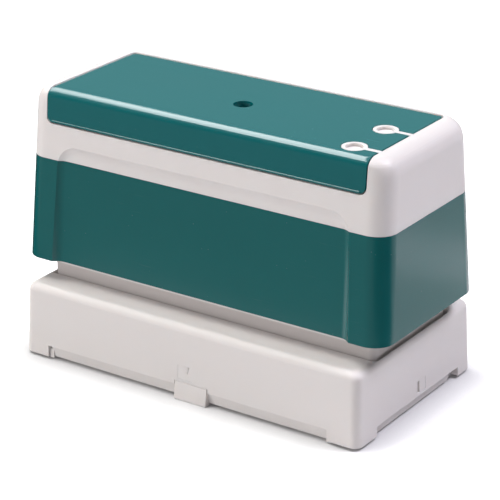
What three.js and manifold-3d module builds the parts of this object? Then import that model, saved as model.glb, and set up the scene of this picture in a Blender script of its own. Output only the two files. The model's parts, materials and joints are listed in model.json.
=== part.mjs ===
// Hand stamp with its own ink supply, standing in its storage cover.
// Millimetres, +Z up, X along the stamp, -Y to the front.
// The origin is on the standing surface, under the middle of the stamp.
import * as THREE from "three";
import { mergeVertices } from "three/addons/utils/BufferGeometryUtils.js";
import Module from "manifold-3d";

const wasm = await Module();
wasm.setup();

// ---------- Handle, outside ----------
const HANDLE_LENGTH = 121.6; // at the lower edge of the grip
const HANDLE_WIDTH = 52.0; // at the lower edge of the grip
const HANDLE_TOP = 79.8;
const HANDLE_CORNER = 6.1; // radius of the upright corners
const HANDLE_DRAFT_X = 0.036; // inward lean of the end faces, per mm of height
const HANDLE_DRAFT_Y = 0.08; // inward lean of the long faces, per mm of height
const END_ROUND = 5.4; // radius over the top of the two ends
const EDGE_ROUND = 2.6; // radius along the two long top edges
const GRIP_BOTTOM = 28.6;
const GRIP_HEIGHT = 30.7;
const GRIP_WALL = 1.8;
const PANEL_MARGIN = 11.4; // from the handle's ends to the finger panels
const PANEL_DEPTH = 0.9;
const PANEL_OVER_SEAM = 4.4;
const PANEL_CORNER = 4.5;
const END_BAND = 8.2; // length of the shell left beyond each end of the lid
const LID_WALL = 1.8;
const LID_DEPTH = 9.75; // from the top face to the edge of its long sides
const LID_HEADROOM = 0.8; // between the deck and the lid
const LID_INNER_ROUND = 0.9; // radius along the lid's inner top corners
const BACK_RIM = 3.0; // width of the shell's edge left behind the lid
const LID_CORNER = 2.2; // radius of the lid's two back corners, seen from above

// ---------- Handle, inside ----------
const SHELL_WALL = 1.5;
const DECK = 1.6; // thickness of the shell's deck under the lid
const RIM_DROP = 0.7; // how far the shell's liner shows below the grip
const CORE_MARGIN_X = 16.6; // from the skirt's outside to the core
const CORE_MARGIN_Y = 6.5;
const CORE_WALL = 1.6;
const CORE_FLANGE = 2.0;
const CORE_CORNER = 2;
const CORE_RIB = 1.4;
const FLANGE_MARGIN_X = 6; // from the tray's outside to the core's flange
const FLANGE_MARGIN_Y = 1.8;
const TRAY_BOSS = 2.9; // radius of the posts that take the tray screws
const TRAY_BOSS_HEIGHT = 12;
const CENTRE_BOSS = 5; // radius of the shell's boss round the centre screw
const CENTRE_BOSS_DROP = 4.6;
const CENTRE_POST = 4; // radius of the core's post under the centre screw
const CENTRE_POST_HEIGHT = 12;
const TUBE_RADIUS = 2.3;
const TUBE_BORE = 1.4;
const TUBE_BEND = 14; // height over which a tube steps across
const SOCKET_WALL = 1.6;
const SOCKET_DEPTH = 6; // below the deck
const SOCKET_STOP = 1.8; // the tube stops this far below the deck

// ---------- Skirt and storage cover ----------
const SKIRT_MARGIN_X = 6.2; // from the handle's outside to the skirt
const SKIRT_MARGIN_Y = 6.5;
const SKIRT_WALL = 1.6;
const SKIRT_TOP = 46;
const SKIRT_DECK_Z = 32;
const SKIRT_DECK = 2.0;
const SKIRT_FLANGE = 2.5;
const SKIRT_CORNER = 1.8;
const SPRING_CUP_WALL = 0.7;
const SPRING_CUP_HEIGHT = 1.5;
const COVER_END_WALL = 2.2; // at its lower edge
const COVER_SIDE_WALL = 2.8; // at its lower edge
const COVER_WIDTH = 62.8; // at its lower edge
const COVER_TOP = 22.3;
const COVER_DRAFT = 0.038;
const COVER_CORNER = 2.7;
const COVER_EDGE_ROUND = 2.2;
const COVER_DECK = 2.0;
const STAND_GAP = 0.8; // the cover's walls stop this far above the surface
const PLATE_TOP = 2.4;
const PLATE_POCKET = 1.0; // floor left under the rest pad
const PAD_BELOW = 0.2; // the rest pad's top lies this far below the plate's
const WELL_CORNER = 1.5;

// ---------- Motion ----------
const STROKE = 4.0; // how far the handle presses down over the skirt

// ---------- Printing stack ----------
const SHEET_STEP = 2.1; // height of the printing step
const SHEET_BRIM = 0.6;
const SHEET_PROUD = 0.8; // the printing face stands below its frame
const BRIM = 2.0; // clamped edge around the printing step
const PAD_HEIGHT = 3.7;
const TRAY_WALL = 1.6;
const TRAY_CEILING = 1.6;
const INK_SPACE = 1.7; // between the upper pad and the tray's ceiling

// ---------- Fits ----------
const LAP = 0.5; // joined solids run this far into each other
const PAST = 1; // cutters run this far past what they cut
const BELOW = 5; // sloping cutters start this far below the piece they cut
const SEAT = 0.1; // between two pieces that rest on each other
const SKIN = 0.2; // between two outer skins of the handle
const FIT = 0.3; // between two pieces that are pushed together
const TUBE_FIT = 0.15; // round an ink tube's end
const SLIDE = 0.4; // between the skirt and what it slides in
const RUN = 0.7; // between the skirt and what moves inside it

// ---------- Screws, springs and ports ----------
const STOP_SHANK = 1.5;
const STOP_HEAD = 3.0;
const STOP_HEAD_HEIGHT = 2.1;
const BOSS_RADIUS = 3.2;
const SPRING_RADIUS = 2.7;
const SPRING_WIRE = 0.35;
const SPRING_TURNS = 6;
const SPRING_LENGTH = 24; // from the skirt's deck to the bosses above
const TRAY_SHANK = 1.2;
const TRAY_HEAD = 2.5;
const TRAY_HEAD_HEIGHT = 1.4;
const PORT_MARGIN = 7.6; // from the lid's right end to the ports
const PORTS = { front: -15.6, back: 0.4 }; // the two ports' places across the lid
const STOP_Y = -PORTS.front - 2 * TUBE_RADIUS; // clear of the front ink tube
const PORT_RADIUS = 3.5;
const PORT_BORE = 2.45;
const TAIL_WIDTH = 1.5;
const PLUG_RADIUS = 2.3;
const PLUG_RIM = 0.7;
const PLUG_DEPTH = 0.8; // the plug's top lies this far below the lid's
const ACCESS_RADIUS = 2.8; // hole in the lid over the centre screw
const CENTRE_HEAD = 2.7;
const SOCKET_HEX = 0.45; // a screw's hexagon socket, as a share of its head
const LABEL_THICKNESS = 0.3;
const LABEL_MARGIN = 3; // from the lid's end to the label
const LABEL_SIDE = 7; // from the handle's long faces to the label
const INNER_CORNER = 1; // radius inside trays, frames and pockets
const ACCESS = [1.5, -3.3];
const CURVE = 5; // segments in a rounded corner
const ROUND = 16; // segments round a small cylinder
const RING_ROUND = 28; // segments round a port's ring

// ---------- Heights that follow ----------
const SEAM = GRIP_BOTTOM + GRIP_HEIGHT;
const BOSS_BOTTOM = SKIRT_DECK_Z + SKIRT_DECK + SPRING_LENGTH;
const LID_EDGE = HANDLE_TOP - LID_DEPTH;
const DECK_TOP = HANDLE_TOP - LID_WALL - LID_HEADROOM;
const DECK_BOTTOM = DECK_TOP - DECK;
const LINER_INSET = GRIP_WALL + SKIN;
const SEAT_INSET = LID_WALL + SKIN;
const CAVITY_INSET = LINER_INSET + SHELL_WALL;
const SKIRT_BOTTOM = PLATE_TOP + SEAT;
const FACE_Z = SKIRT_BOTTOM + STROKE; // printing face at rest
const FRAME_Z = FACE_Z + SHEET_PROUD;
const BRIM_Z = FACE_Z + SHEET_STEP;
const BRIM_TOP = BRIM_Z + SHEET_BRIM;
const LOWER_PAD_Z = BRIM_TOP + SEAT;
const UPPER_PAD_Z = LOWER_PAD_Z + PAD_HEIGHT + SEAT;
const FRAME_TOP = BRIM_TOP + FIT;
const TRAY_Z = FRAME_TOP + SEAT;
const CEILING_Z = UPPER_PAD_Z + PAD_HEIGHT + INK_SPACE;
const TRAY_TOP = CEILING_Z + TRAY_CEILING;
const CORE_Z = TRAY_TOP + SEAT;
const CENTRE_BOSS_Z = DECK_BOTTOM - CENTRE_BOSS_DROP;
const CORE_TOP = CENTRE_BOSS_Z - SEAT;
const STOP_TOP = DECK_BOTTOM - 5; // upper ends of the stop screws
const CENTRE_HEAD_Z = DECK_BOTTOM - LAP + SEAT;

// ---------- Plan sizes that follow ----------
const SKIRT_HALF_LENGTH = HANDLE_LENGTH / 2 - SKIRT_MARGIN_X;
const SKIRT_HALF_WIDTH = HANDLE_WIDTH / 2 - SKIRT_MARGIN_Y;
const CORE_HALF_LENGTH = SKIRT_HALF_LENGTH - CORE_MARGIN_X;
const CORE_HALF_WIDTH = SKIRT_HALF_WIDTH - CORE_MARGIN_Y;
const PANEL_HALF_LENGTH = HANDLE_LENGTH / 2 - PANEL_MARGIN;
const LID_HALF = HANDLE_LENGTH / 2 - END_BAND;
const PORT_X = LID_HALF - PORT_MARGIN;
const TOP_HALF_WIDTH = HANDLE_WIDTH / 2 - HANDLE_DRAFT_Y * (HANDLE_TOP - GRIP_BOTTOM);
const LID_BACK = TOP_HALF_WIDTH - BACK_RIM;
const SKIRT_INNER_LENGTH = SKIRT_HALF_LENGTH - SKIRT_WALL;
const SKIRT_INNER_WIDTH = SKIRT_HALF_WIDTH - SKIRT_WALL;
const TRAY_HALF_LENGTH = SKIRT_INNER_LENGTH - RUN;
const TRAY_HALF_WIDTH = SKIRT_INNER_WIDTH - RUN;
const PAD_HALF_LENGTH = TRAY_HALF_LENGTH - TRAY_WALL - FIT;
const PAD_HALF_WIDTH = TRAY_HALF_WIDTH - TRAY_WALL - FIT;
const STOP_X = SKIRT_INNER_LENGTH - SPRING_RADIUS - 3 * FIT;
const TUBE_X = CORE_HALF_LENGTH + TUBE_RADIUS + 3 * FIT;
const TUBE_FOOT = { front: -6.5, back: 1.0 };
const BOSS_Y = CORE_HALF_WIDTH - CORE_WALL - TRAY_BOSS + 3 * FIT;
const BOSS_X = CORE_HALF_LENGTH - CORE_WALL - TRAY_BOSS - LAP;
const WELL_HALF_LENGTH = SKIRT_HALF_LENGTH + SLIDE;
const WELL_HALF_WIDTH = SKIRT_HALF_WIDTH + SLIDE;
const COVER_LENGTH = 2 * (WELL_HALF_LENGTH + COVER_END_WALL);
const COVER_INNER_WIDTH = COVER_WIDTH / 2 - COVER_SIDE_WALL;

// ---------- Latches between the cover and its plate ----------
const STRIP_TOP = 4.2; // cut-outs along the cover's lower edge
const STRIP_MARGIN = 8.7; // from the cover's ends to its long cut-outs
const STRIP_HALF_LENGTH = COVER_LENGTH / 2 - STRIP_MARGIN;
const STRIP_INSET = 0.7;
const STRIP_SLOPE = 0.6; // how far a strip's outer face slopes in at its foot
const SIDE_STRIP = [-21.3, 23.6];
const SIDE_STRIP_TOP = 3.6;
const SIDE_STRIP_END = 4.4; // the side cut-out stays open over this length
const HOOK_WALL = 0.7; // thickness of the side hooks' stems
const HOOK_DEPTH = 1.2; // depth of the grooves they pass through
const TAB = [-2.9, 7.8];
const TAB_TOP = 5.2;
const TAB_PROUD = 0.5;
const WINDOW = [-2.0, 2.8];
const WINDOW_Z = [6.2, 10.4];
const SIDE_WINDOW = [0.4, 5.0];
const SIDE_WINDOW_Z = [4.6, 8.2];

const TEAL = { color: 0x1f6263, roughness: 0.3, metalness: 0 };
const WHITE = { color: 0xe8e3de, roughness: 0.42, metalness: 0 };
const GREY = { color: 0x9b9c9e, roughness: 0.5, metalness: 0 };
const STEEL = { color: 0xc2c4c6, roughness: 0.3, metalness: 1 };
const FELT = { color: 0x2a2b33, roughness: 0.95, metalness: 0 };
const RUBBER = { color: 0x8d5c50, roughness: 0.8, metalness: 0 };
const FOAM = { color: 0xb9b6ae, roughness: 0.9, metalness: 0 };
const PAPER = { color: 0xf2f0ea, roughness: 0.8, metalness: 0 };

const part = new THREE.Group();

// A closed geometry as a solid that can be joined and cut.
function solid(geometry) {
  const plain = geometry.index ? geometry.toNonIndexed() : geometry.clone();
  plain.deleteAttribute("normal");
  plain.deleteAttribute("uv");
  const merged = mergeVertices(plain, 1e-4);
  const mesh = new wasm.Mesh({
    numProp: 3,
    vertProperties: merged.attributes.position.array,
    triVerts: new Uint32Array(merged.index.array),
  });
  return new wasm.Manifold(mesh);
}

// Adds a solid to the part as a named mesh.
function addNode(name, body, finish) {
  const made = body.getMesh();
  const places = new Float32Array(made.numVert * 3);
  for (let i = 0; i < made.numVert; i++) {
    const start = i * made.numProp;
    places.set(made.vertProperties.subarray(start, start + 3), i * 3);
  }
  const geometry = new THREE.BufferGeometry();
  geometry.setAttribute("position", new THREE.BufferAttribute(places, 3));
  geometry.setIndex(new THREE.BufferAttribute(made.triVerts, 1));
  geometry.computeVertexNormals();
  const mesh = new THREE.Mesh(geometry, new THREE.MeshStandardMaterial(finish));
  mesh.name = name;
  part.add(mesh);
}

// Outline of a rectangle with round corners, centred on the origin.
function roundedOutline(halfX, halfY, radius) {
  const outline = new THREE.Shape();
  const corners = [
    [halfX - radius, halfY - radius, 0],
    [radius - halfX, halfY - radius, 1],
    [radius - halfX, radius - halfY, 2],
    [halfX - radius, radius - halfY, 3],
  ];
  for (const [x, y, turn] of corners) {
    const start = (turn * Math.PI) / 2;
    outline.absarc(x, y, radius, start, start + Math.PI / 2, false);
  }
  outline.closePath();
  return outline;
}

// Upright prism from an outline.
function prism(outline, z0, z1, segments = CURVE) {
  const settings = {
    depth: z1 - z0,
    bevelEnabled: false,
    curveSegments: segments,
  };
  return new THREE.ExtrudeGeometry(outline, settings).translate(0, 0, z0);
}

function roundedBlock(halfX, halfY, radius, z0, z1) {
  return prism(roundedOutline(halfX, halfY, radius), z0, z1);
}

// Plain box from its two opposite corners.
function box(x0, x1, y0, y1, z0, z1) {
  return new THREE.BoxGeometry(x1 - x0, y1 - y0, z1 - z0).translate(
    (x0 + x1) / 2,
    (y0 + y1) / 2,
    (z0 + z1) / 2,
  );
}

// Upright cylinder.
function rod(x, y, radius, z0, z1, segments = ROUND) {
  const cylinder = new THREE.CylinderGeometry(radius, radius, z1 - z0, segments);
  return cylinder.rotateX(Math.PI / 2).translate(x, y, (z0 + z1) / 2);
}

// Outline with a flat foot and two rounded upper corners.
function archOutline(half, z0, z1, radius) {
  const outline = new THREE.Shape();
  outline.moveTo(-half, z0);
  outline.lineTo(half, z0);
  outline.absarc(half - radius, z1 - radius, radius, 0, Math.PI / 2, false);
  outline.absarc(radius - half, z1 - radius, radius, Math.PI / 2, Math.PI, false);
  outline.closePath();
  return outline;
}

// Arch outline carried along Y, from y0 to y1.
function archAlongY(half, z0, z1, radius, y0, y1) {
  const carried = prism(archOutline(half, z0, z1, radius), 0, y1 - y0, CURVE + 2);
  return carried.rotateX(Math.PI / 2).translate(0, y1, 0);
}

// Arch outline carried along X, over the whole length given.
function archAlongX(half, z0, z1, radius, halfLength) {
  const carried = prism(archOutline(half, z0, z1, radius), 0, 2 * halfLength, CURVE);
  carried.rotateX(Math.PI / 2);
  carried.rotateZ(Math.PI / 2);
  return carried.translate(-halfLength, 0, 0);
}

// Leans the sides of a geometry inward as it rises above a height.
function leaned(geometry, fromZ, leanX, leanY) {
  const places = geometry.attributes.position;
  for (let i = 0; i < places.count; i++) {
    const rise = places.getZ(i) - fromZ;
    const x = places.getX(i);
    const y = places.getY(i);
    places.setXY(i, x - Math.sign(x) * leanX * rise, y - Math.sign(y) * leanY * rise);
  }
  return geometry;
}

function leanedHandle(geometry) {
  return solid(leaned(geometry, GRIP_BOTTOM, HANDLE_DRAFT_X, HANDLE_DRAFT_Y));
}

function leanedCover(geometry) {
  return solid(leaned(geometry, STAND_GAP, COVER_DRAFT, COVER_DRAFT));
}

// Block that follows the handle's outer faces, set in from them all round.
function handleBlock(inset, z0, z1) {
  const halfX = HANDLE_LENGTH / 2 - inset;
  const halfY = HANDLE_WIDTH / 2 - inset;
  const radius = Math.max(HANDLE_CORNER - inset, INNER_CORNER);
  return leanedHandle(roundedBlock(halfX, halfY, radius, z0, z1));
}

// The handle's outside from a height up, rounded over its ends and long top edges.
function handleTopBlock(z0) {
  const low = GRIP_BOTTOM - BELOW;
  const reach = HANDLE_LENGTH;
  const overEnds = archAlongY(HANDLE_LENGTH / 2, low, HANDLE_TOP, END_ROUND, -reach, reach);
  const overEdges = archAlongX(HANDLE_WIDTH / 2, low, HANDLE_TOP, EDGE_ROUND, reach);
  const block = handleBlock(0, z0, HANDLE_TOP);
  return block.intersect(leanedHandle(overEnds)).intersect(leanedHandle(overEdges));
}

// Cutter for the shallow finger panels on both long faces.
function fingerPanels() {
  const faceY = HANDLE_WIDTH / 2;
  const low = GRIP_BOTTOM - BELOW;
  const top = SEAM + PANEL_OVER_SEAM;
  const made = [-1, 1].map((side) => {
    const near = side * (faceY - PANEL_DEPTH);
    const far = side * (faceY + BELOW);
    const y0 = Math.min(near, far);
    const y1 = Math.max(near, far);
    return leanedHandle(archAlongY(PANEL_HALF_LENGTH, low, top, PANEL_CORNER, y0, y1));
  });
  return made[0].add(made[1]);
}

// Screw standing on its head: a head below and a shank rising from it.
function risingScrew(x, y, head, headHeight, shank, z0, z1) {
  const cap = solid(rod(x, y, head, z0, z0 + headHeight));
  const recess = solid(rod(x, y, head * SOCKET_HEX, z0 - PAST, z0 + headHeight / 2, 6));
  const stem = solid(rod(x, y, shank, z0 + headHeight - LAP, z1));
  return cap.subtract(recess).add(stem);
}

// Calls for each of the four corners of a centred rectangle, front left first.
function corners(x, y) {
  return [
    [-x, -y],
    [x, -y],
    [-x, y],
    [x, y],
  ];
}

// ---------- Lid ----------
// A port and its tail, seen from above, with a margin all round.
function keyhole(y, margin, z0, z1) {
  const ring = solid(rod(PORT_X, y, PORT_RADIUS + margin, z0, z1, RING_ROUND));
  const half = TAIL_WIDTH / 2 + margin;
  const tail = solid(box(PORT_X, LID_HALF + PAST, y - half, y + half, z0, z1));
  return ring.add(tail);
}

// The lid seen from above, with a margin all round. It runs off over the front edge.
function lidOutline(margin) {
  const halfX = LID_HALF + margin;
  const backY = LID_BACK + margin;
  const radius = LID_CORNER + margin;
  const outline = new THREE.Shape();
  outline.moveTo(-halfX, -HANDLE_WIDTH);
  outline.lineTo(halfX, -HANDLE_WIDTH);
  outline.absarc(halfX - radius, backY - radius, radius, 0, Math.PI / 2, false);
  outline.absarc(radius - halfX, backY - radius, radius, Math.PI / 2, Math.PI, false);
  outline.closePath();
  return outline;
}

function makeLid() {
  const above = HANDLE_TOP + PAST;
  const slice = solid(prism(lidOutline(0), LID_EDGE - PAST, above));
  const ceiling = HANDLE_TOP - LID_WALL;
  const innerHalf = HANDLE_WIDTH / 2 - LID_WALL;
  const hollow = leanedHandle(
    archAlongX(innerHalf, LID_EDGE - BELOW, ceiling, LID_INNER_ROUND, HANDLE_LENGTH),
  );
  const lipX = LID_HALF - LID_CORNER;
  const lip = box(-lipX, lipX, LID_BACK - LID_WALL, LID_BACK, DECK_TOP + SEAT, ceiling + LAP);
  let lid = handleTopBlock(LID_EDGE).intersect(slice).subtract(hollow).add(solid(lip));
  for (const y of Object.values(PORTS)) {
    lid = lid.subtract(keyhole(y, SKIN, LID_EDGE, above));
  }
  const access = rod(ACCESS[0], ACCESS[1], ACCESS_RADIUS, LID_EDGE, above, RING_ROUND);
  addNode("lid", lid.subtract(solid(access)), TEAL);
}

function makeLabel() {
  const x0 = LABEL_MARGIN - LID_HALF;
  const x1 = PORT_X - PORT_RADIUS - LABEL_MARGIN / 2;
  const halfY = TOP_HALF_WIDTH - LABEL_SIDE;
  const z0 = DECK_TOP + SEAT;
  const sheet = box(x0, x1, -halfY, halfY, z0, z0 + LABEL_THICKNESS);
  const hole = rod(ACCESS[0], ACCESS[1], CENTRE_HEAD + 2 * FIT, DECK_TOP - PAST, DECK_TOP + PAST);
  addNode("name_label", solid(sheet).subtract(solid(hole)), PAPER);
}

// ---------- Handle ----------
function makeShell() {
  const liner = handleBlock(LINER_INSET, GRIP_BOTTOM - RIM_DROP, SEAM + LAP);
  const cavity = handleBlock(CAVITY_INSET, GRIP_BOTTOM - BELOW, DECK_BOTTOM);
  const seatSpace = solid(prism(lidOutline(FIT), LID_EDGE - FIT, HANDLE_TOP + PAST));
  const seatHalf = HANDLE_WIDTH / 2 - SEAT_INSET;
  const low = GRIP_BOTTOM - BELOW;
  const seatBody = leanedHandle(
    archAlongX(seatHalf, low, DECK_TOP, LID_INNER_ROUND, HANDLE_LENGTH),
  );
  let shell = handleTopBlock(SEAM).add(liner);
  shell = shell.subtract(seatSpace.subtract(seatBody)).subtract(fingerPanels());
  shell = shell.subtract(cavity);
  const socketZ = DECK_BOTTOM - SOCKET_DEPTH;
  for (const portY of Object.values(PORTS)) {
    shell = shell.add(keyhole(portY, 0, DECK_TOP - LAP, HANDLE_TOP));
    const wall = rod(PORT_X, portY, TUBE_RADIUS + SOCKET_WALL, socketZ, DECK_BOTTOM + LAP);
    shell = shell.add(solid(wall));
  }
  for (const [stopX, stopY] of corners(STOP_X, STOP_Y)) {
    shell = shell.add(solid(rod(stopX, stopY, BOSS_RADIUS, BOSS_BOTTOM, DECK_BOTTOM + LAP)));
  }
  const [x, y] = ACCESS;
  const centreBoss = rod(x, y, CENTRE_BOSS, CENTRE_BOSS_Z, DECK_BOTTOM + LAP);
  shell = shell.add(solid(centreBoss));
  for (const portY of Object.values(PORTS)) {
    const stopZ = DECK_BOTTOM - SOCKET_STOP;
    const bore = rod(PORT_X, portY, PORT_BORE, stopZ - LAP, HANDLE_TOP + PAST);
    const socket = rod(PORT_X, portY, TUBE_RADIUS + TUBE_FIT, socketZ - PAST, stopZ);
    shell = shell.subtract(solid(bore)).subtract(solid(socket));
  }
  for (const [stopX, stopY] of corners(STOP_X, STOP_Y)) {
    const bore = rod(stopX, stopY, STOP_SHANK + SEAT, BOSS_BOTTOM - PAST, STOP_TOP + PAST);
    shell = shell.subtract(solid(bore));
  }
  const shankHole = rod(x, y, STOP_SHANK + SKIN, CENTRE_BOSS_Z - PAST, DECK_TOP + PAST);
  const headHole = rod(x, y, CENTRE_HEAD + FIT, CENTRE_HEAD_Z - SEAT, DECK_TOP + PAST);
  shell = shell.subtract(solid(shankHole)).subtract(solid(headHole));
  addNode("handle_shell", shell, WHITE);
}

function makeGrip() {
  const outer = handleBlock(0, GRIP_BOTTOM, SEAM - SKIN);
  const inner = handleBlock(GRIP_WALL, GRIP_BOTTOM - BELOW, SEAM + BELOW);
  addNode("grip_sleeve", outer.subtract(inner).subtract(fingerPanels()), TEAL);
}

// The box that carries the printing stack, hung from the shell's deck.
function makeCore() {
  const outer = roundedBlock(CORE_HALF_LENGTH, CORE_HALF_WIDTH, CORE_CORNER, CORE_Z, CORE_TOP);
  const flange = roundedBlock(
    TRAY_HALF_LENGTH - FLANGE_MARGIN_X,
    TRAY_HALF_WIDTH - FLANGE_MARGIN_Y,
    CORE_CORNER,
    CORE_Z,
    CORE_Z + CORE_FLANGE,
  );
  const innerX = CORE_HALF_LENGTH - CORE_WALL;
  const innerY = CORE_HALF_WIDTH - CORE_WALL;
  const hollowTop = CORE_TOP - CORE_WALL;
  const hollow = roundedBlock(innerX, innerY, INNER_CORNER, CORE_Z - PAST, hollowTop);
  let core = solid(outer).add(solid(flange)).subtract(solid(hollow));
  const bossTop = CORE_Z + TRAY_BOSS_HEIGHT;
  for (const side of [-1, 1]) {
    const x = (side * CORE_HALF_LENGTH) / 2;
    const reach = innerY + LAP;
    const half = CORE_RIB / 2;
    const rib = box(x - half, x + half, -reach, reach, bossTop, hollowTop + LAP);
    core = core.add(solid(rib));
  }
  for (const [x, y] of corners(BOSS_X, BOSS_Y)) {
    const boss = rod(x, y, TRAY_BOSS, CORE_Z, bossTop);
    const bore = rod(x, y, TRAY_SHANK + SEAT, CORE_Z - PAST, bossTop - PAST);
    core = core.add(solid(boss)).subtract(solid(bore));
  }
  const [x, y] = ACCESS;
  const postZ = CORE_TOP - CENTRE_POST_HEIGHT;
  const post = rod(x, y, CENTRE_POST, postZ, CORE_TOP);
  const postBore = rod(x, y, STOP_SHANK + SEAT, postZ + PAST, CORE_TOP + PAST);
  core = core.add(solid(post)).subtract(solid(postBore));
  for (const footY of Object.values(TUBE_FOOT)) {
    const hole = rod(TUBE_X, footY, TUBE_RADIUS + FIT, CORE_Z - PAST, CORE_Z + CORE_FLANGE + PAST);
    core = core.subtract(solid(hole));
  }
  addNode("inner_core", core, GREY);
}

function makeScrews() {
  const names = ["front_left", "front_right", "back_left", "back_right"];
  const stopZ = SKIRT_DECK_Z - FIT - STOP_HEAD_HEIGHT;
  corners(STOP_X, STOP_Y).forEach(([x, y], i) => {
    const screw = risingScrew(x, y, STOP_HEAD, STOP_HEAD_HEIGHT, STOP_SHANK, stopZ, STOP_TOP);
    addNode("stop_screw_" + names[i], screw, STEEL);
  });
  const trayZ = CEILING_Z - SEAT - TRAY_HEAD_HEIGHT;
  const trayTop = CORE_Z + TRAY_BOSS_HEIGHT - 3 * PAST;
  corners(BOSS_X, BOSS_Y).forEach(([x, y], i) => {
    const screw = risingScrew(x, y, TRAY_HEAD, TRAY_HEAD_HEIGHT, TRAY_SHANK, trayZ, trayTop);
    addNode("tray_screw_" + names[i], screw, STEEL);
  });
  const [x, y] = ACCESS;
  const headTop = DECK_TOP - FIT;
  const head = rod(x, y, CENTRE_HEAD, CENTRE_HEAD_Z, headTop);
  const middle = (CENTRE_HEAD_Z + headTop) / 2;
  const recess = rod(x, y, CENTRE_HEAD * SOCKET_HEX, middle, headTop + PAST, 6);
  const shankZ = CORE_TOP - CENTRE_POST_HEIGHT + 2 * PAST;
  const shank = rod(x, y, STOP_SHANK, shankZ, middle);
  addNode("centre_screw", solid(head).add(solid(shank)).subtract(solid(recess)), STEEL);
}

// Ink tube that runs down from a port and steps over to the tray.
function tubeBody(portY, footY, radius, low, high) {
  const bendTop = DECK_BOTTOM - SOCKET_DEPTH - PAST;
  const bendFoot = bendTop - TUBE_BEND;
  const at = (t, z) => {
    const x = PORT_X + (TUBE_X - PORT_X) * t;
    return new THREE.Vector3(x, portY + (footY - portY) * t, z);
  };
  const middle = (bendTop + bendFoot) / 2;
  const path = new THREE.CurvePath();
  path.add(new THREE.LineCurve3(at(0, high), at(0, bendTop)));
  path.add(
    new THREE.CubicBezierCurve3(at(0, bendTop), at(0, middle), at(1, middle), at(1, bendFoot)),
  );
  path.add(new THREE.LineCurve3(at(1, bendFoot), at(1, low)));
  const outline = new THREE.Shape().absarc(0, 0, radius, 0, 2 * Math.PI, false);
  const settings = { extrudePath: path, steps: 24, bevelEnabled: false, curveSegments: 4 };
  return solid(new THREE.ExtrudeGeometry(outline, settings));
}

function makeTubes() {
  const low = CEILING_Z + LAP;
  const high = DECK_BOTTOM - SOCKET_STOP - SKIN;
  for (const side of Object.keys(PORTS)) {
    const wall = tubeBody(PORTS[side], TUBE_FOOT[side], TUBE_RADIUS, low, high);
    const bore = tubeBody(PORTS[side], TUBE_FOOT[side], TUBE_BORE, low - PAST, high + PAST);
    addNode("ink_tube_" + side, wall.subtract(bore), WHITE);
  }
}

function makePlugs() {
  for (const side of Object.keys(PORTS)) {
    const y = PORTS[side];
    const top = HANDLE_TOP - PLUG_DEPTH;
    const foot = DECK_BOTTOM - SOCKET_STOP + 2 * SKIN;
    const body = solid(rod(PORT_X, y, PLUG_RADIUS, foot, top));
    const dish = solid(rod(PORT_X, y, PLUG_RADIUS - PLUG_RIM, top - LAP, top + PAST));
    addNode("ink_plug_" + side, body.subtract(dish), WHITE);
  }
}

// ---------- Printing stack ----------
function makeTray() {
  const outer = roundedBlock(
    TRAY_HALF_LENGTH,
    TRAY_HALF_WIDTH,
    INNER_CORNER + LAP,
    TRAY_Z,
    TRAY_TOP,
  );
  const innerX = TRAY_HALF_LENGTH - TRAY_WALL;
  const innerY = TRAY_HALF_WIDTH - TRAY_WALL;
  const hollow = roundedBlock(innerX, innerY, INNER_CORNER, TRAY_Z - PAST, CEILING_Z);
  let tray = solid(outer).subtract(solid(hollow));
  for (const [x, y] of corners(BOSS_X, BOSS_Y)) {
    const hole = rod(x, y, TRAY_SHANK + FIT, CEILING_Z - PAST, TRAY_TOP + PAST);
    tray = tray.subtract(solid(hole));
  }
  for (const y of Object.values(TUBE_FOOT)) {
    const hole = rod(TUBE_X, y, TUBE_RADIUS + TUBE_FIT, CEILING_Z - PAST, TRAY_TOP + PAST);
    tray = tray.subtract(solid(hole));
  }
  addNode("ink_tray", tray, GREY);
}

function makePads() {
  const levels = { upper: UPPER_PAD_Z, lower: LOWER_PAD_Z };
  for (const [level, z] of Object.entries(levels)) {
    const pad = roundedBlock(PAD_HALF_LENGTH, PAD_HALF_WIDTH, INNER_CORNER, z, z + PAD_HEIGHT);
    addNode("ink_pad_" + level, solid(pad), FELT);
  }
}

// The printing sheet's face stands through the frame that clamps its brim.
function makeSheetAndFrame() {
  const faceX = PAD_HALF_LENGTH - BRIM;
  const faceY = PAD_HALF_WIDTH - BRIM;
  const step = roundedBlock(faceX, faceY, INNER_CORNER, FACE_Z, BRIM_Z + SHEET_BRIM / 2);
  const brim = roundedBlock(PAD_HALF_LENGTH, PAD_HALF_WIDTH, INNER_CORNER, BRIM_Z, BRIM_TOP);
  addNode("printing_sheet", solid(step).add(solid(brim)), RUBBER);

  const body = roundedBlock(
    TRAY_HALF_LENGTH,
    TRAY_HALF_WIDTH,
    INNER_CORNER + LAP,
    FRAME_Z,
    FRAME_TOP,
  );
  const opening = roundedBlock(
    faceX + FIT,
    faceY + FIT,
    INNER_CORNER,
    FRAME_Z - PAST,
    FRAME_TOP + PAST,
  );
  const rebate = roundedBlock(
    PAD_HALF_LENGTH + FIT,
    PAD_HALF_WIDTH + FIT,
    INNER_CORNER,
    BRIM_Z - SEAT,
    FRAME_TOP + PAST,
  );
  const frame = solid(body).subtract(solid(opening)).subtract(solid(rebate));
  addNode("sheet_frame", frame, WHITE);
}

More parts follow.
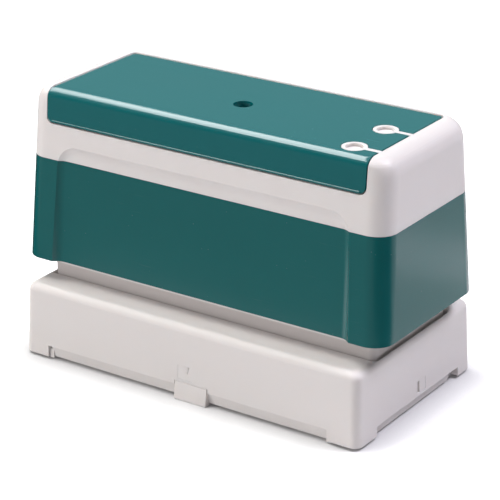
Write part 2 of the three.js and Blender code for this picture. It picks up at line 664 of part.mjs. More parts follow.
// ---------- Skirt ----------
function makeSkirt() {
  const wall = roundedBlock(
    SKIRT_HALF_LENGTH,
    SKIRT_HALF_WIDTH,
    SKIRT_CORNER,
    SKIRT_BOTTOM,
    SKIRT_TOP,
  );
  const pressed = SKIRT_TOP + STROKE - GRIP_BOTTOM; // height inside the lowered handle
  const flange = roundedBlock(
    HANDLE_LENGTH / 2 - CAVITY_INSET - HANDLE_DRAFT_X * pressed - SLIDE,
    HANDLE_WIDTH / 2 - CAVITY_INSET - HANDLE_DRAFT_Y * pressed - SLIDE,
    SKIRT_CORNER + SLIDE,
    SKIRT_TOP - SKIRT_FLANGE,
    SKIRT_TOP,
  );
  const space = roundedBlock(
    SKIRT_INNER_LENGTH,
    SKIRT_INNER_WIDTH,
    INNER_CORNER,
    SKIRT_BOTTOM - PAST,
    SKIRT_TOP + PAST,
  );
  const deckTop = SKIRT_DECK_Z + SKIRT_DECK;
  const cupTop = deckTop + SPRING_CUP_HEIGHT;
  const deckX = SKIRT_INNER_LENGTH + LAP;
  const deckY = SKIRT_INNER_WIDTH + LAP;
  const deck = box(-deckX, deckX, -deckY, deckY, SKIRT_DECK_Z, deckTop);
  let skirt = solid(wall).add(solid(flange)).subtract(solid(space)).add(solid(deck));
  const seatRadius = SPRING_RADIUS + 2 * SPRING_WIRE;
  for (const [x, y] of corners(STOP_X, STOP_Y)) {
    const cup = rod(x, y, seatRadius + SPRING_CUP_WALL, deckTop - LAP, cupTop);
    const seat = rod(x, y, seatRadius, deckTop, cupTop + PAST);
    const bore = rod(x, y, STOP_SHANK + FIT, SKIRT_DECK_Z - PAST, deckTop + PAST);
    skirt = skirt.add(solid(cup)).subtract(solid(seat)).subtract(solid(bore));
  }
  const coreHole = roundedBlock(
    CORE_HALF_LENGTH + RUN,
    CORE_HALF_WIDTH + RUN,
    CORE_CORNER,
    SKIRT_DECK_Z - PAST,
    cupTop + PAST,
  );
  const slot = TUBE_RADIUS + RUN;
  const tubeHole = box(
    CORE_HALF_LENGTH - PAST,
    TUBE_X + slot,
    TUBE_FOOT.front - slot,
    TUBE_FOOT.back + slot,
    SKIRT_DECK_Z - PAST,
    cupTop + PAST,
  );
  skirt = skirt.subtract(solid(coreHole)).subtract(solid(tubeHole));
  addNode("skirt_frame", skirt, WHITE);
}

class Helix extends THREE.Curve {
  constructor(x, y, z0, z1) {
    super();
    this.centre = [x, y];
    this.rise = [z0, z1];
  }

  getPoint(t) {
    const angle = 2 * Math.PI * SPRING_TURNS * t;
    const [x, y] = this.centre;
    const [z0, z1] = this.rise;
    return new THREE.Vector3(
      x + SPRING_RADIUS * Math.cos(angle),
      y + SPRING_RADIUS * Math.sin(angle),
      z0 + (z1 - z0) * t,
    );
  }
}

function makeSprings() {
  const names = ["front_left", "front_right", "back_left", "back_right"];
  const z0 = SKIRT_DECK_Z + SKIRT_DECK + SPRING_WIRE + SKIN;
  const z1 = BOSS_BOTTOM - SPRING_WIRE - SKIN;
  corners(STOP_X, STOP_Y).forEach(([x, y], i) => {
    const wire = new THREE.Shape().absarc(0, 0, SPRING_WIRE, 0, 2 * Math.PI, false);
    const settings = {
      extrudePath: new Helix(x, y, z0, z1),
      steps: SPRING_TURNS * 8,
      bevelEnabled: false,
      curveSegments: 3,
    };
    const coil = solid(new THREE.ExtrudeGeometry(wire, settings));
    addNode("spring_" + names[i], coil, STEEL);
  });
}

// ---------- Storage cover ----------
// Cuts through the cover's front and right walls for the plate's strips and latches.
function latchCuts() {
  const reach = COVER_LENGTH;
  const innerY = PAST - COVER_INNER_WIDTH;
  const innerX = WELL_HALF_LENGTH - PAST;
  const [tab0, tab1] = TAB;
  const [window0, window1] = WINDOW;
  const [side0, side1] = SIDE_WINDOW;
  const [sideLow, sideHigh] = SIDE_WINDOW_Z;
  return [
    box(-STRIP_HALF_LENGTH, STRIP_HALF_LENGTH, -reach, innerY, -BELOW, STRIP_TOP),
    box(tab0 - FIT, tab1 + FIT, -reach, innerY, -BELOW, TAB_TOP + FIT),
    box(window0, window1, -reach, innerY, WINDOW_Z[0], WINDOW_Z[1]),
    box(innerX, reach, SIDE_STRIP[0], SIDE_STRIP[1], -BELOW, SIDE_STRIP_TOP),
    box(innerX, reach, side0, side1, sideLow, sideHigh),
    box(innerX, WELL_HALF_LENGTH + HOOK_DEPTH, side0, side1, -BELOW, sideHigh),
  ];
}

function makeCover() {
  const halfX = COVER_LENGTH / 2;
  const halfY = COVER_WIDTH / 2;
  const reach = COVER_LENGTH;
  const low = STAND_GAP - BELOW;
  const block = leanedCover(roundedBlock(halfX, halfY, COVER_CORNER, STAND_GAP, COVER_TOP));
  const overEnds = leanedCover(
    archAlongY(halfX, low, COVER_TOP, COVER_EDGE_ROUND, -reach, reach),
  );
  const overEdges = leanedCover(archAlongX(halfY, low, COVER_TOP, COVER_EDGE_ROUND, reach));
  const deckZ = COVER_TOP - COVER_DECK;
  const hollow = roundedBlock(WELL_HALF_LENGTH, COVER_INNER_WIDTH, WELL_CORNER, -BELOW, deckZ);
  const well = roundedBlock(
    WELL_HALF_LENGTH,
    WELL_HALF_WIDTH,
    WELL_CORNER,
    PLATE_TOP,
    COVER_TOP + PAST,
  );
  let cover = block.intersect(overEnds).intersect(overEdges);
  cover = cover.subtract(solid(hollow)).subtract(solid(well));
  for (const turn of [0, Math.PI]) {
    for (const cut of latchCuts()) {
      cover = cover.subtract(solid(cut.rotateZ(turn)));
    }
  }
  addNode("cover_wall", cover, WHITE);
}

// Upright strip with a sloping outer face, filling a cut-out in the cover's edge.
function strip(x0, x1, y, depth, top) {
  const outline = new THREE.Shape();
  outline.moveTo(-y + depth, STAND_GAP);
  outline.lineTo(-y + depth, top);
  outline.lineTo(-y, top);
  outline.lineTo(-y + STRIP_SLOPE, STAND_GAP);
  outline.closePath();
  const carried = prism(outline, 0, x1 - x0);
  carried.rotateX(Math.PI / 2);
  carried.rotateZ(Math.PI / 2);
  return carried.translate(x0, 0, 0);
}

// Strips, webs, tab and hooks that stand up from the plate's front and right edges.
function plateLatches(floorX, floorY) {
  const faceX = COVER_LENGTH / 2 - STRIP_INSET;
  const faceY = COVER_WIDTH / 2;
  const hookX = WELL_HALF_LENGTH + SKIN;
  const longHalf = STRIP_HALF_LENGTH - PAST;
  const longDepth = faceY - STRIP_INSET - floorY + PAST;
  const [tab0, tab1] = TAB;
  const [side0, side1] = SIDE_STRIP;
  const hook0 = SIDE_WINDOW[0] + FIT;
  const hook1 = SIDE_WINDOW[1] - FIT;
  const hookTop = SIDE_WINDOW_Z[1] - FIT;
  const window0 = WINDOW[0] + FIT;
  const window1 = WINDOW[1] - FIT;
  const windowTop = WINDOW_Z[1] - FIT;
  const webTop = PLATE_TOP - SEAT;
  const sideLength = side1 - side0 - SIDE_STRIP_END;
  const side = strip(0, sideLength, faceX, faceX - hookX, SIDE_STRIP_TOP - FIT);
  side.rotateZ(Math.PI / 2).translate(0, side0 + FIT, 0);
  return [
    strip(-longHalf, longHalf, faceY - STRIP_INSET, longDepth, STRIP_TOP - FIT),
    side,
    box(floorX - PAST, hookX + LAP, side0 + PAST, side0 + sideLength, STAND_GAP, webTop),
    box(tab0, tab1, -faceY - TAB_PROUD, PAST - floorY, 0, TAB_TOP),
    box(window0, window1, -floorY, PAST - floorY, STAND_GAP, windowTop),
    box(window0, window1, STRIP_INSET - faceY, LAP - floorY, WINDOW_Z[0] + FIT, windowTop),
    box(hookX, hookX + HOOK_WALL, hook0, hook1, STAND_GAP, hookTop),
    box(hookX, faceX, hook0, hook1, SIDE_WINDOW_Z[0] + FIT, hookTop),
  ];
}

function makePlate() {
  const floorX = WELL_HALF_LENGTH - FIT;
  const floorY = COVER_INNER_WIDTH - FIT;
  const pocketX = PAD_HALF_LENGTH + FIT;
  const pocketY = PAD_HALF_WIDTH + FIT;
  const above = PLATE_TOP + PAST;
  const floor = roundedBlock(floorX, floorY, WELL_CORNER - FIT, 0, PLATE_TOP);
  const pocket = roundedBlock(pocketX, pocketY, INNER_CORNER, PLATE_POCKET, above);
  let plate = solid(floor).subtract(solid(pocket));
  for (const turn of [0, Math.PI]) {
    for (const piece of plateLatches(floorX, floorY)) {
      plate = plate.add(solid(piece.rotateZ(turn)));
    }
  }
  addNode("cover_plate", plate, WHITE);
}

function makeRestPad() {
  const z0 = PLATE_POCKET + SEAT;
  const z1 = PLATE_TOP - PAD_BELOW;
  const pad = roundedBlock(PAD_HALF_LENGTH, PAD_HALF_WIDTH, INNER_CORNER, z0, z1);
  addNode("rest_pad", solid(pad), FOAM);
}

makeCover();
makePlate();
makeRestPad();
makeSkirt();
makeSprings();
makeTray();
makePads();
makeSheetAndFrame();
makeCore();
makeShell();
makeGrip();
makeTubes();
makeScrews();
makeLabel();
makeLid();
makePlugs();

export default part;
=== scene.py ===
"""Looks of the hand stamp: its moulded pieces, their finishes, and a plain studio.

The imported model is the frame. Shapes are drawn here in millimetres and become metres when a
piece is finished. +X runs along the stamp, -Y is its front and +Z is up.
"""

from __future__ import annotations

import json
import logging
import math
from collections.abc import Iterable, Mapping, Sequence
from dataclasses import dataclass, field
from enum import Enum
from typing import Any

import bmesh
import bpy
from mathutils import Matrix, Vector


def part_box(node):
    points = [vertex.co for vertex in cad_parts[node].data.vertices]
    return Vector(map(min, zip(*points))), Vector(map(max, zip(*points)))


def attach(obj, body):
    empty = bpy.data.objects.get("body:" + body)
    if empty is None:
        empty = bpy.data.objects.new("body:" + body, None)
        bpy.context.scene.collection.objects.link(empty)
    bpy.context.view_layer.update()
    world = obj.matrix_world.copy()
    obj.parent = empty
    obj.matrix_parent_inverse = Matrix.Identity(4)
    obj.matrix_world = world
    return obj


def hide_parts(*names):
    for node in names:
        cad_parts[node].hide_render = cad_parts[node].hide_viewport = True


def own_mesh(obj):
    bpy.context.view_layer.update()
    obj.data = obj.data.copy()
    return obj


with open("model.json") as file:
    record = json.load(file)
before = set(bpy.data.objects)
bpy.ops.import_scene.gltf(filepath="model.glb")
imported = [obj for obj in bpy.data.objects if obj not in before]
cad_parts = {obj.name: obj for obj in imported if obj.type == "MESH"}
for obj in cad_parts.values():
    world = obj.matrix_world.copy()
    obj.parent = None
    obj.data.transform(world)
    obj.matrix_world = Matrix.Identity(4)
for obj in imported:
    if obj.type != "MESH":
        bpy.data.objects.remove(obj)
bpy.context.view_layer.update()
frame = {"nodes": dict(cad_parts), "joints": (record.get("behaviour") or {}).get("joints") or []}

MM = 0.001
LOG = logging.getLogger("stamp")
Point2 = tuple[float, float]
Point3 = tuple[float, float, float]
Rings = Sequence[Sequence[Sequence[float]]]
CORNERS = ("front_left", "front_right", "back_left", "back_right")
BOTH_WAYS = (0.0, math.pi)
# How far cutters run past a face, and below the foot, in millimetres.
PAST = 1.0
FAR_DOWN = 5.0


class Body(Enum):
    """The bodies that pieces ride on."""

    COVER = "cover"
    SKIRT = "skirt"
    HANDLE = "handle"
    LID = "lid_body"
    PLUG_FRONT = "plug_front"
    PLUG_BACK = "plug_back"


class Slot(Enum):
    """The record's material slots that new pieces take."""

    WHITE = "white_plastic"
    TEAL = "teal_plastic"
    GREY = "grey_plastic"
    SPRING = "spring_steel"
    FELT = "ink_felt"
    RUBBER = "printing_rubber"
    FOAM = "foam"
    PAPER = "label_paper"


class Cut(Enum):
    """Ways of combining two closed forms."""

    JOIN = "UNION"
    TAKE = "DIFFERENCE"
    MEET = "INTERSECT"


def span(node: str) -> tuple[Vector, Vector]:
    """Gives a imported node's box.

    Args:
        node: The node's name.

    Returns:
        Its lowest and highest corner, in millimetres.
    """
    low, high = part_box(node)
    return low / MM, high / MM


# ---------------------------------------------------------------- outlines


def angles(steps: int, sweep: float = math.pi / 2) -> list[float]:
    """Lists the angles of an arc's points, from nothing to its sweep."""
    return [step / steps * sweep for step in range(steps + 1)]


def lifted(outline: Iterable[Point2], height: float) -> list[Point3]:
    """Lifts a plan to a height."""
    return [(x, y, height) for x, y in outline]


def rounded_outline(half_x: float, half_y: float, radius: float, steps: int) -> list[Point2]:
    """Draws a centred rectangle with round corners, anticlockwise.

    Args:
        half_x: Half its length.
        half_y: Half its width.
        radius: Radius of its corners.
        steps: Segments in each corner.

    Returns:
        The outline's points.
    """
    points = []
    for turn, (sx, sy) in enumerate(((1, 1), (-1, 1), (-1, -1), (1, -1))):
        for angle in angles(steps):
            angle += turn * math.pi / 2
            x = sx * (half_x - radius) + radius * math.cos(angle)
            y = sy * (half_y - radius) + radius * math.sin(angle)
            points.append((x, y))
    return points


def arch_outline(half: float, low: float, top: float, radius: float, steps: int) -> list[Point2]:
    """Draws an upright outline with a flat foot and two round upper corners.

    Args:
        half: Half its width.
        low: Height of its foot.
        top: Height of its top.
        radius: Radius of its upper corners.
        steps: Segments in each corner.

    Returns:
        The outline's points, anticlockwise.
    """
    points = [(-half, low), (half, low)]
    for side, start in ((1, 0.0), (-1, math.pi / 2)):
        for angle in angles(steps):
            x = side * (half - radius) + radius * math.cos(start + angle)
            points.append((x, top - radius + radius * math.sin(start + angle)))
    return points


def round_inset(height: float, top: float, radius: float) -> float:
    """Gives how far a rounded upper edge has drawn in at a height.

    Args:
        height: Where to measure.
        top: Height at which the rounding ends.
        radius: Its radius.

    Returns:
        The distance in from the side below it.
    """
    over = max(0.0, min(radius, height - (top - radius)))
    return radius - math.sqrt(max(0.0, radius * radius - over * over))


# ---------------------------------------------------------------- forms


@dataclass
class Form:
    """A closed mesh, in millimetres, that can be joined, cut and rounded."""

    mesh: bpy.types.Mesh

    @classmethod
    def of_faces(cls, points: Sequence[Sequence[float]], faces: Sequence[Sequence[int]]) -> Form:
        """Makes a form from points and faces, with its doubles merged and faces outward.

        Args:
            points: The vertices.
            faces: Each face's vertex numbers.

        Returns:
            The form.
        """
        mesh = bpy.data.meshes.new("form")
        mesh.from_pydata([tuple(p) for p in points], [], [tuple(f) for f in faces])
        net = bmesh.new()
        net.from_mesh(mesh)
        bmesh.ops.remove_doubles(net, verts=net.verts, dist=1e-4)
        bmesh.ops.dissolve_degenerate(net, edges=net.edges, dist=1e-5)
        bmesh.ops.recalc_face_normals(net, faces=net.faces)
        net.to_mesh(mesh)
        net.free()
        return cls(mesh)

    @classmethod
    def loft(cls, rings: Rings) -> Form:
        """Skins a stack of rings, closed at both ends.

        Args:
            rings: Rings of points, all with the same number of points.

        Returns:
            The form.
        """
        count = len(rings[0])
        points = [p for ring in rings for p in ring]
        faces = [list(range(count))[::-1]]
        for level in range(len(rings) - 1):
            for i in range(count):
                j = (i + 1) % count
                low, high = level * count, (level + 1) * count
                faces.append([low + i, low + j, high + j, high + i])
        last = (len(rings) - 1) * count
        faces.append([last + i for i in range(count)])
        return cls.of_faces(points, faces)

    @classmethod
    def prism(cls, outline: Sequence[Point2], low: float, high: float) -> Form:
        """Raises an outline into an upright prism.

        Args:
            outline: Its plan.
            low: Height of its foot.
            high: Height of its top.

        Returns:
            The form.
        """
        return cls.loft([lifted(outline, z) for z in (low, high)])

    @classmethod
    def along_y(cls, outline: Sequence[Point2], start: float, end: float) -> Form:
        """Carries an upright outline along Y."""
        return cls.loft([[(x, y, z) for x, z in outline] for y in (start, end)])

    @classmethod
    def along_x(cls, outline: Sequence[Point2], start: float, end: float) -> Form:
        """Carries an upright outline along X."""
        return cls.loft([[(x, y, z) for y, z in outline] for x in (start, end)])

    @classmethod
    def block(cls, low: Sequence[float], high: Sequence[float]) -> Form:
        """Makes a plain block between two corners, as a cutter or a web."""
        outline = [(low[0], low[1]), (high[0], low[1]), (high[0], high[1]), (low[0], high[1])]
        return cls.prism(outline, low[2], high[2])

    @classmethod
    def pad(cls, node: str, levels: Iterable[Point2]) -> Form:
        """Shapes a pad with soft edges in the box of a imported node.

        Args:
            node: The node's name.
            levels: Share of the height, and how far in the side lies there.

        Returns:
            The pad.
        """
        low, high = span(node)
        rings = []
        for share, inset in levels:
            outline = rounded_outline(high.x - inset, high.y - inset, 1.2, 6)
            rings.append(lifted(outline, low.z + share * (high.z - low.z)))
        return cls.loft(rings)

    @classmethod
    def turned(cls, profile: Sequence[Point2], x: float, y: float, steps: int = 40) -> Form:
        """Turns a profile round an upright axis.

        Args:
            profile: Radius and height of each point, from the foot's middle to the top's.
            x: Place of the axis.
            y: Place of the axis.
            steps: Segments round it.

        Returns:
            The form.
        """
        rings = []
        for radius, height in profile:
            reach = max(radius, 1e-3)
            ring = [(reach * math.cos(a), reach * math.sin(a)) for a in angles(steps, 2 * math.pi)]
            rings.append([(x + across, y + along, height) for across, along in ring[:-1]])
        return cls.loft(rings)

    @classmethod
    def of_node(cls, node: str) -> Form:
        """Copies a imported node, merged and with its flat faces made whole.

        Args:
            node: The node's name.

        Returns:
            The form, in millimetres.
        """
        mesh = frame["nodes"][node].data.copy()
        mesh.materials.clear()
        mesh.transform(Matrix.Scale(1 / MM, 4))
        for name in ("custom_normal", "sharp_edge", "sharp_face"):
            found = mesh.attributes.get(name)
            if found:
                mesh.attributes.remove(found)
        net = bmesh.new()
        net.from_mesh(mesh)
        bmesh.ops.remove_doubles(net, verts=net.verts, dist=2e-3)
        bmesh.ops.dissolve_limit(
            net, angle_limit=math.radians(0.6), verts=net.verts, edges=net.edges
        )
        net.to_mesh(mesh)
        net.free()
        return cls(mesh)

    def modified(self, kind: str, settings: Mapping[str, Any]) -> Form:
        """Applies one modifier.

        Args:
            kind: The modifier's type.
            settings: Its settings by name.

        Returns:
            This form, with its mesh changed.
        """
        holder = bpy.data.objects.new("work", self.mesh)
        bpy.context.scene.collection.objects.link(holder)
        modifier = holder.modifiers.new(kind, kind)
        for name, value in settings.items():
            setattr(modifier, name, value)
        graph = bpy.context.evaluated_depsgraph_get()
        made = bpy.data.meshes.new_from_object(holder.evaluated_get(graph), depsgraph=graph)
        bpy.data.objects.remove(holder)
        self.mesh = made
        return self

    def combined(self, other: Form, way: Cut) -> Form:
        """Joins, cuts or meets this form with another.

        Args:
            other: The other form.
            way: How they combine.

        Returns:
            This form, changed.
        """
        tool = bpy.data.objects.new("tool", other.mesh)
        bpy.context.scene.collection.objects.link(tool)
        settings = {"operation": way.value, "solver": "EXACT", "object": tool}
        self.modified("BOOLEAN", settings)
        bpy.data.objects.remove(tool)
        return self

    def join(self, other: Form) -> Form:
        """Adds another form."""
        return self.combined(other, Cut.JOIN)

    def take(self, other: Form) -> Form:
        """Cuts another form away."""
        return self.combined(other, Cut.TAKE)

    def meet(self, other: Form) -> Form:
        """Keeps only what lies in another form too."""
        return self.combined(other, Cut.MEET)

    def leaned(self, foot: float, lean_x: float, lean_y: float) -> Form:
        """Leans the sides inward as they rise.

        Args:
            foot: Height that stays in place.
            lean_x: Inward lean of the ends, per millimetre of height.
            lean_y: Inward lean of the long sides, per millimetre of height.

        Returns:
            This form, changed.
        """
        for vertex in self.mesh.vertices:
            rise = vertex.co.z - foot
            if vertex.co.x:
                vertex.co.x -= math.copysign(lean_x * rise, vertex.co.x)
            if vertex.co.y:
                vertex.co.y -= math.copysign(lean_y * rise, vertex.co.y)
        return self

    def turned_about(self, angle: float) -> Form:
        """Turns the form about the upright axis."""
        self.mesh.transform(Matrix.Rotation(angle, 4, "Z"))
        return self

    def rounded(self, width: float, segments: int = 3, angle: float = 32.0) -> Form:
        """Rounds the edges sharper than an angle.

        Args:
            width: Width of the rounding.
            segments: Faces across it.
            angle: The least angle of an edge that is rounded, in degrees.

        Returns:
            This form, changed.
        """
        net = bmesh.new()
        net.from_mesh(self.mesh)
        bmesh.ops.remove_doubles(net, verts=net.verts, dist=2e-3)
        bmesh.ops.dissolve_degenerate(net, edges=net.edges, dist=1e-3)
        net.to_mesh(self.mesh)
        net.free()
        settings = {
            "width": width,
            "segments": segments,
            "limit_method": "ANGLE",
            "angle_limit": math.radians(angle),
            "use_clamp_overlap": True,
            "miter_outer": "MITER_ARC",
        }
        return self.modified("BEVEL", settings)


@dataclass
class Piece:
    """A finished piece on its way into the scene."""

    name: str
    form: Form
    body: Body
    slot: Slot
    material: bpy.types.Material
    stands_for: tuple[str, ...] = ()

    @staticmethod
    def _shade(mesh: bpy.types.Mesh) -> None:
        """Gives each vertex the mean normal of its faces, weighted by their areas.

        Args:
            mesh: The finished mesh.
        """
        sums = [Vector() for _ in mesh.vertices]
        for face in mesh.polygons:
            face.use_smooth = True
            for index in face.vertices:
                sums[index] += face.normal * face.area
        normals = [sums[loop.vertex_index].normalized() for loop in mesh.loops]
        mesh.normals_split_custom_set(normals)

    def place(self) -> bpy.types.Object:
        """Shades the piece, turns it to metres and lets it ride.

        Returns:
            The piece's object.
        """
        mesh = self.form.mesh
        mesh.name = self.name
        mesh.materials.clear()
        mesh.materials.append(self.material)
        mesh.polygons.foreach_set("material_index", [0] * len(mesh.polygons))
        mesh.transform(Matrix.Scale(MM, 4))
        self._shade(mesh)
        shown = bpy.data.objects.new(self.name, mesh)
        bpy.context.scene.collection.objects.link(shown)
        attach(shown, self.body.value)
        if self.stands_for:
            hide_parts(*self.stands_for)
        LOG.info("%s: %d faces on %s", self.name, len(mesh.polygons), self.body.value)
        return shown


def dress_packed(part: str, material: bpy.types.Material) -> None:
    """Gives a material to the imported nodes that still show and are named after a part.

    Args:
        part: The word in their names.
        material: The material.
    """
    for node in frame["nodes"].values():
        if part in node.name and not node.hide_render:
            node.data.materials.clear()
            node.data.materials.append(material)
            LOG.info("%s: packed node with a new finish", node.name)


# ---------------------------------------------------------------- node helpers


@dataclass(frozen=True)
class Wire:
    """A node's socket, which takes arithmetic where it carries a number."""

    graph: Graph
    socket: bpy.types.NodeSocket

    def _math(self, operation: str, first: Any, second: Any) -> Wire:
        """Adds a Math node on two values."""
        return self.graph.add("ShaderNodeMath", {"operation": operation}, {0: first, 1: second})

    def __add__(self, other: Any) -> Wire:
        """Adds."""
        return self._math("ADD", self, other)

    __radd__ = __add__

    def __sub__(self, other: Any) -> Wire:
        """Takes away."""
        return self._math("SUBTRACT", self, other)

    def __rsub__(self, other: Any) -> Wire:
        """Is taken away from a number."""
        return self._math("SUBTRACT", other, self)

    def __mul__(self, other: Any) -> Wire:
        """Multiplies."""
        return self._math("MULTIPLY", self, other)

    __rmul__ = __mul__

    def __pow__(self, other: Any) -> Wire:
        """Raises to a power."""
        return self._math("POWER", self, other)

    def over(self, edge: float, width: float) -> Wire:
        """Gives a soft step.

        Args:
            edge: Where the step starts.
            width: How wide it is.

        Returns:
            0 below the step and 1 above it.
        """
        values = {0: self, 1: edge, 2: edge + width}
        return self.graph.add("ShaderNodeMapRange", {"clamp": True}, values)


class Graph:
    """A node tree that starts empty, and whose nodes all come from one method."""

    def __init__(self, tree: bpy.types.NodeTree) -> None:
        """Takes over a tree and empties it.

        Args:
            tree: The tree.
        """
        self.tree = tree
        tree.nodes.clear()

    @staticmethod
    def _find(sockets: Any, key: int | str) -> bpy.types.NodeSocket:
        """Finds a socket.

        Args:
            sockets: A node's inputs or outputs.
            key: Its place, identifier or name.

        Returns:
            The socket.
        """
        if isinstance(key, int):
            return sockets[key]
        named = (socket for socket in sockets if socket.identifier == key)
        return next(named, None) or sockets[key]

    def add(
        self,
        kind: str,
        settings: Mapping[str, Any] | None = None,
        values: Mapping[int | str, Any] | None = None,
        output: int | str = 0,
    ) -> Wire:
        """Adds a node.

        Args:
            kind: The node's type.
            settings: Its settings, set first.
            values: Its sockets' values or links.
            output: The output to hand back.

        Returns:
            That output, or the first input of a node that ends the tree.
        """
        node = self.tree.nodes.new(kind)
        for name, value in (settings or {}).items():
            setattr(node, name, value)
        for key, value in (values or {}).items():
            socket = self._find(node.inputs, key)
            if isinstance(value, Wire):
                self.tree.links.new(value.socket, socket)
            else:
                socket.default_value = value
        return Wire(self, self._find(node.outputs, output) if node.outputs else node.inputs[0])

    def seen(self) -> Wire:
        """Gives 1 for rays that see the background and 0 for those that light the stamp.

        Returns:
            The share.
        """
        total = self.add("ShaderNodeLightPath", output="Is Camera Ray")
        outputs = total.socket.node.outputs
        for kind in ("Is Glossy Ray", "Is Transmission Ray"):
            total = total + Wire(self, outputs[kind])
        return total


class Recipe(Graph):
    """One material's nodes."""

    def __init__(self, name: str) -> None:
        """Starts an empty material.

        Args:
            name: The material's name.
        """
        self.material = bpy.data.materials.new(name)
        self.material.use_nodes = True
        super().__init__(self.material.node_tree)

    def place(self) -> Wire:
        """Gives Object coordinates, in metres."""
        return self.add("ShaderNodeTexCoord", output="Object")

    def noise(self, at: Wire, scale: float, detail: float = 2.0, roughness: float = 0.5) -> Wire:
        """Adds a noise.

        Args:
            at: Where it is read.
            scale: Waves per metre, roughly.
            detail: Finer layers.
            roughness: How strong they are.

        Returns:
            The noise, from 0 to 1.
        """
        values = {"Vector": at, "Scale": scale, "Detail": detail, "Roughness": roughness}
        return self.add("ShaderNodeTexNoise", {"noise_dimensions": "3D"}, values)

    def stretched(self, at: Wire, stretch: Point3, turn: Point3 = (0.0, 0.0, 0.0)) -> Wire:
        """Stretches and turns coordinates."""
        values = {"Vector": at, "Rotation": turn, "Scale": stretch}
        return self.add("ShaderNodeMapping", None, values)

    def mixed(self, factor: Any, first: Any, second: Any) -> Wire:
        """Mixes two colours, by the second's share."""
        values = {"Factor_Float": factor, "A_Color": first, "B_Color": second}
        return self.add("ShaderNodeMix", {"data_type": "RGBA"}, values, "Result_Color")

    def bump(self, height: Wire, strength: float, distance: float) -> Wire:
        """Turns a height from 0 to 1 into a normal, with a full step's depth in metres."""
        values = {"Height": height, "Strength": strength, "Distance": distance}
        return self.add("ShaderNodeBump", None, values)

    def closed(self, surface: Wire) -> bpy.types.Material:
        """Ends the material in a surface."""
        self.add("ShaderNodeOutputMaterial", None, {"Surface": surface})
        return self.material

    def finish(self, values: Mapping[int | str, Any]) -> bpy.types.Material:
        """Ends the material in a Principled shader with these values or links."""
        return self.closed(self.add("ShaderNodeBsdfPrincipled", None, values))


def linear(red: int, green: int, blue: int) -> tuple[float, float, float, float]:
    """Turns a display colour into a linear one.

    Args:
        red: Red, 0 to 255.
        green: Green, 0 to 255.
        blue: Blue, 0 to 255.

    Returns:
        The linear colour with full alpha.
    """
    made = []
    for part in (red, green, blue):
        share = part / 255
        made.append(share / 12.92 if share <= 0.04045 else ((share + 0.055) / 1.055) ** 2.4)
    return (made[0], made[1], made[2], 1.0)


# ---------------------------------------------------------------- finishes


@dataclass(frozen=True)
class MouldedPlastic:
    """Injection-moulded plastic with a fine texture, flow tone and light handling marks."""

    name: str
    colour: tuple[int, int, int]
    tone: tuple[int, int, int]
    roughness: float = 0.3
    grain: float = 0.25
    grain_scale: float = 2600.0
    scuffs: float = 0.1
    specular: float = 0.5
    depth: float = 0.0

    def material(self) -> bpy.types.Material:
        """Builds the material.

        Returns:
            The material.
        """
        recipe = Recipe(self.name)
        at = recipe.place()
        flow = recipe.noise(recipe.stretched(at, (0.5, 1.0, 1.4)), 38.0, 3.0)
        fine = recipe.noise(at, self.grain_scale, 2.0, 0.6)
        rub = recipe.noise(recipe.stretched(at, (30.0, 260.0, 420.0), (0.2, 0.3, 0.5)), 4.0, 4.0)
        handling = recipe.noise(at, 70.0, 2.0).over(0.5, 0.25)
        scuff = rub.over(0.6, 0.12) * handling
        dust = recipe.add("ShaderNodeTexVoronoi", None, {"Vector": at, "Scale": 420.0})
        speck = 1.0 - dust.over(0.035, 0.03)
        share = recipe.noise(at, 160.0, 0.0).over(0.56, 0.05)
        colour = recipe.mixed(flow, linear(*self.colour), linear(*self.tone))
        pale = recipe.mixed(speck * share * 0.12 + scuff * 0.02, colour, linear(214, 212, 208))
        rough = self.roughness + (flow - 0.5) * 0.08 + scuff * self.scuffs + (fine - 0.5) * 0.06
        normal = recipe.bump(fine + flow * 0.6, self.grain, 0.00004)
        return recipe.finish(
            {
                "Base Color": pale,
                "Roughness": rough,
                "Normal": normal,
                "Specular IOR Level": self.specular,
                "Subsurface Weight": self.depth,
                "Subsurface Radius": (1.0, 0.8, 0.7),
                "Subsurface Scale": 0.0016,
            }
        )


@dataclass(frozen=True)
class BrightSteel:
    """Plated steel with drawn or turned marks."""

    name: str
    colour: tuple[int, int, int]
    roughness: float = 0.28
    stretch: Point3 = (1.0, 1.0, 14.0)

    def material(self) -> bpy.types.Material:
        """Builds the material.

        Returns:
            The material.
        """
        recipe = Recipe(self.name)
        at = recipe.place()
        marks = recipe.noise(recipe.stretched(at, self.stretch), 900.0, 3.0, 0.6)
        stain = recipe.noise(at, 210.0, 3.0).over(0.5, 0.3)
        colour = recipe.mixed(stain * 0.5, linear(*self.colour), linear(132, 130, 124))
        rough = self.roughness + (marks - 0.5) * 0.2 + stain * 0.12
        normal = recipe.bump(marks, 0.2, 0.00002)
        return recipe.finish(
            {"Base Color": colour, "Metallic": 1.0, "Roughness": rough, "Normal": normal}
        )


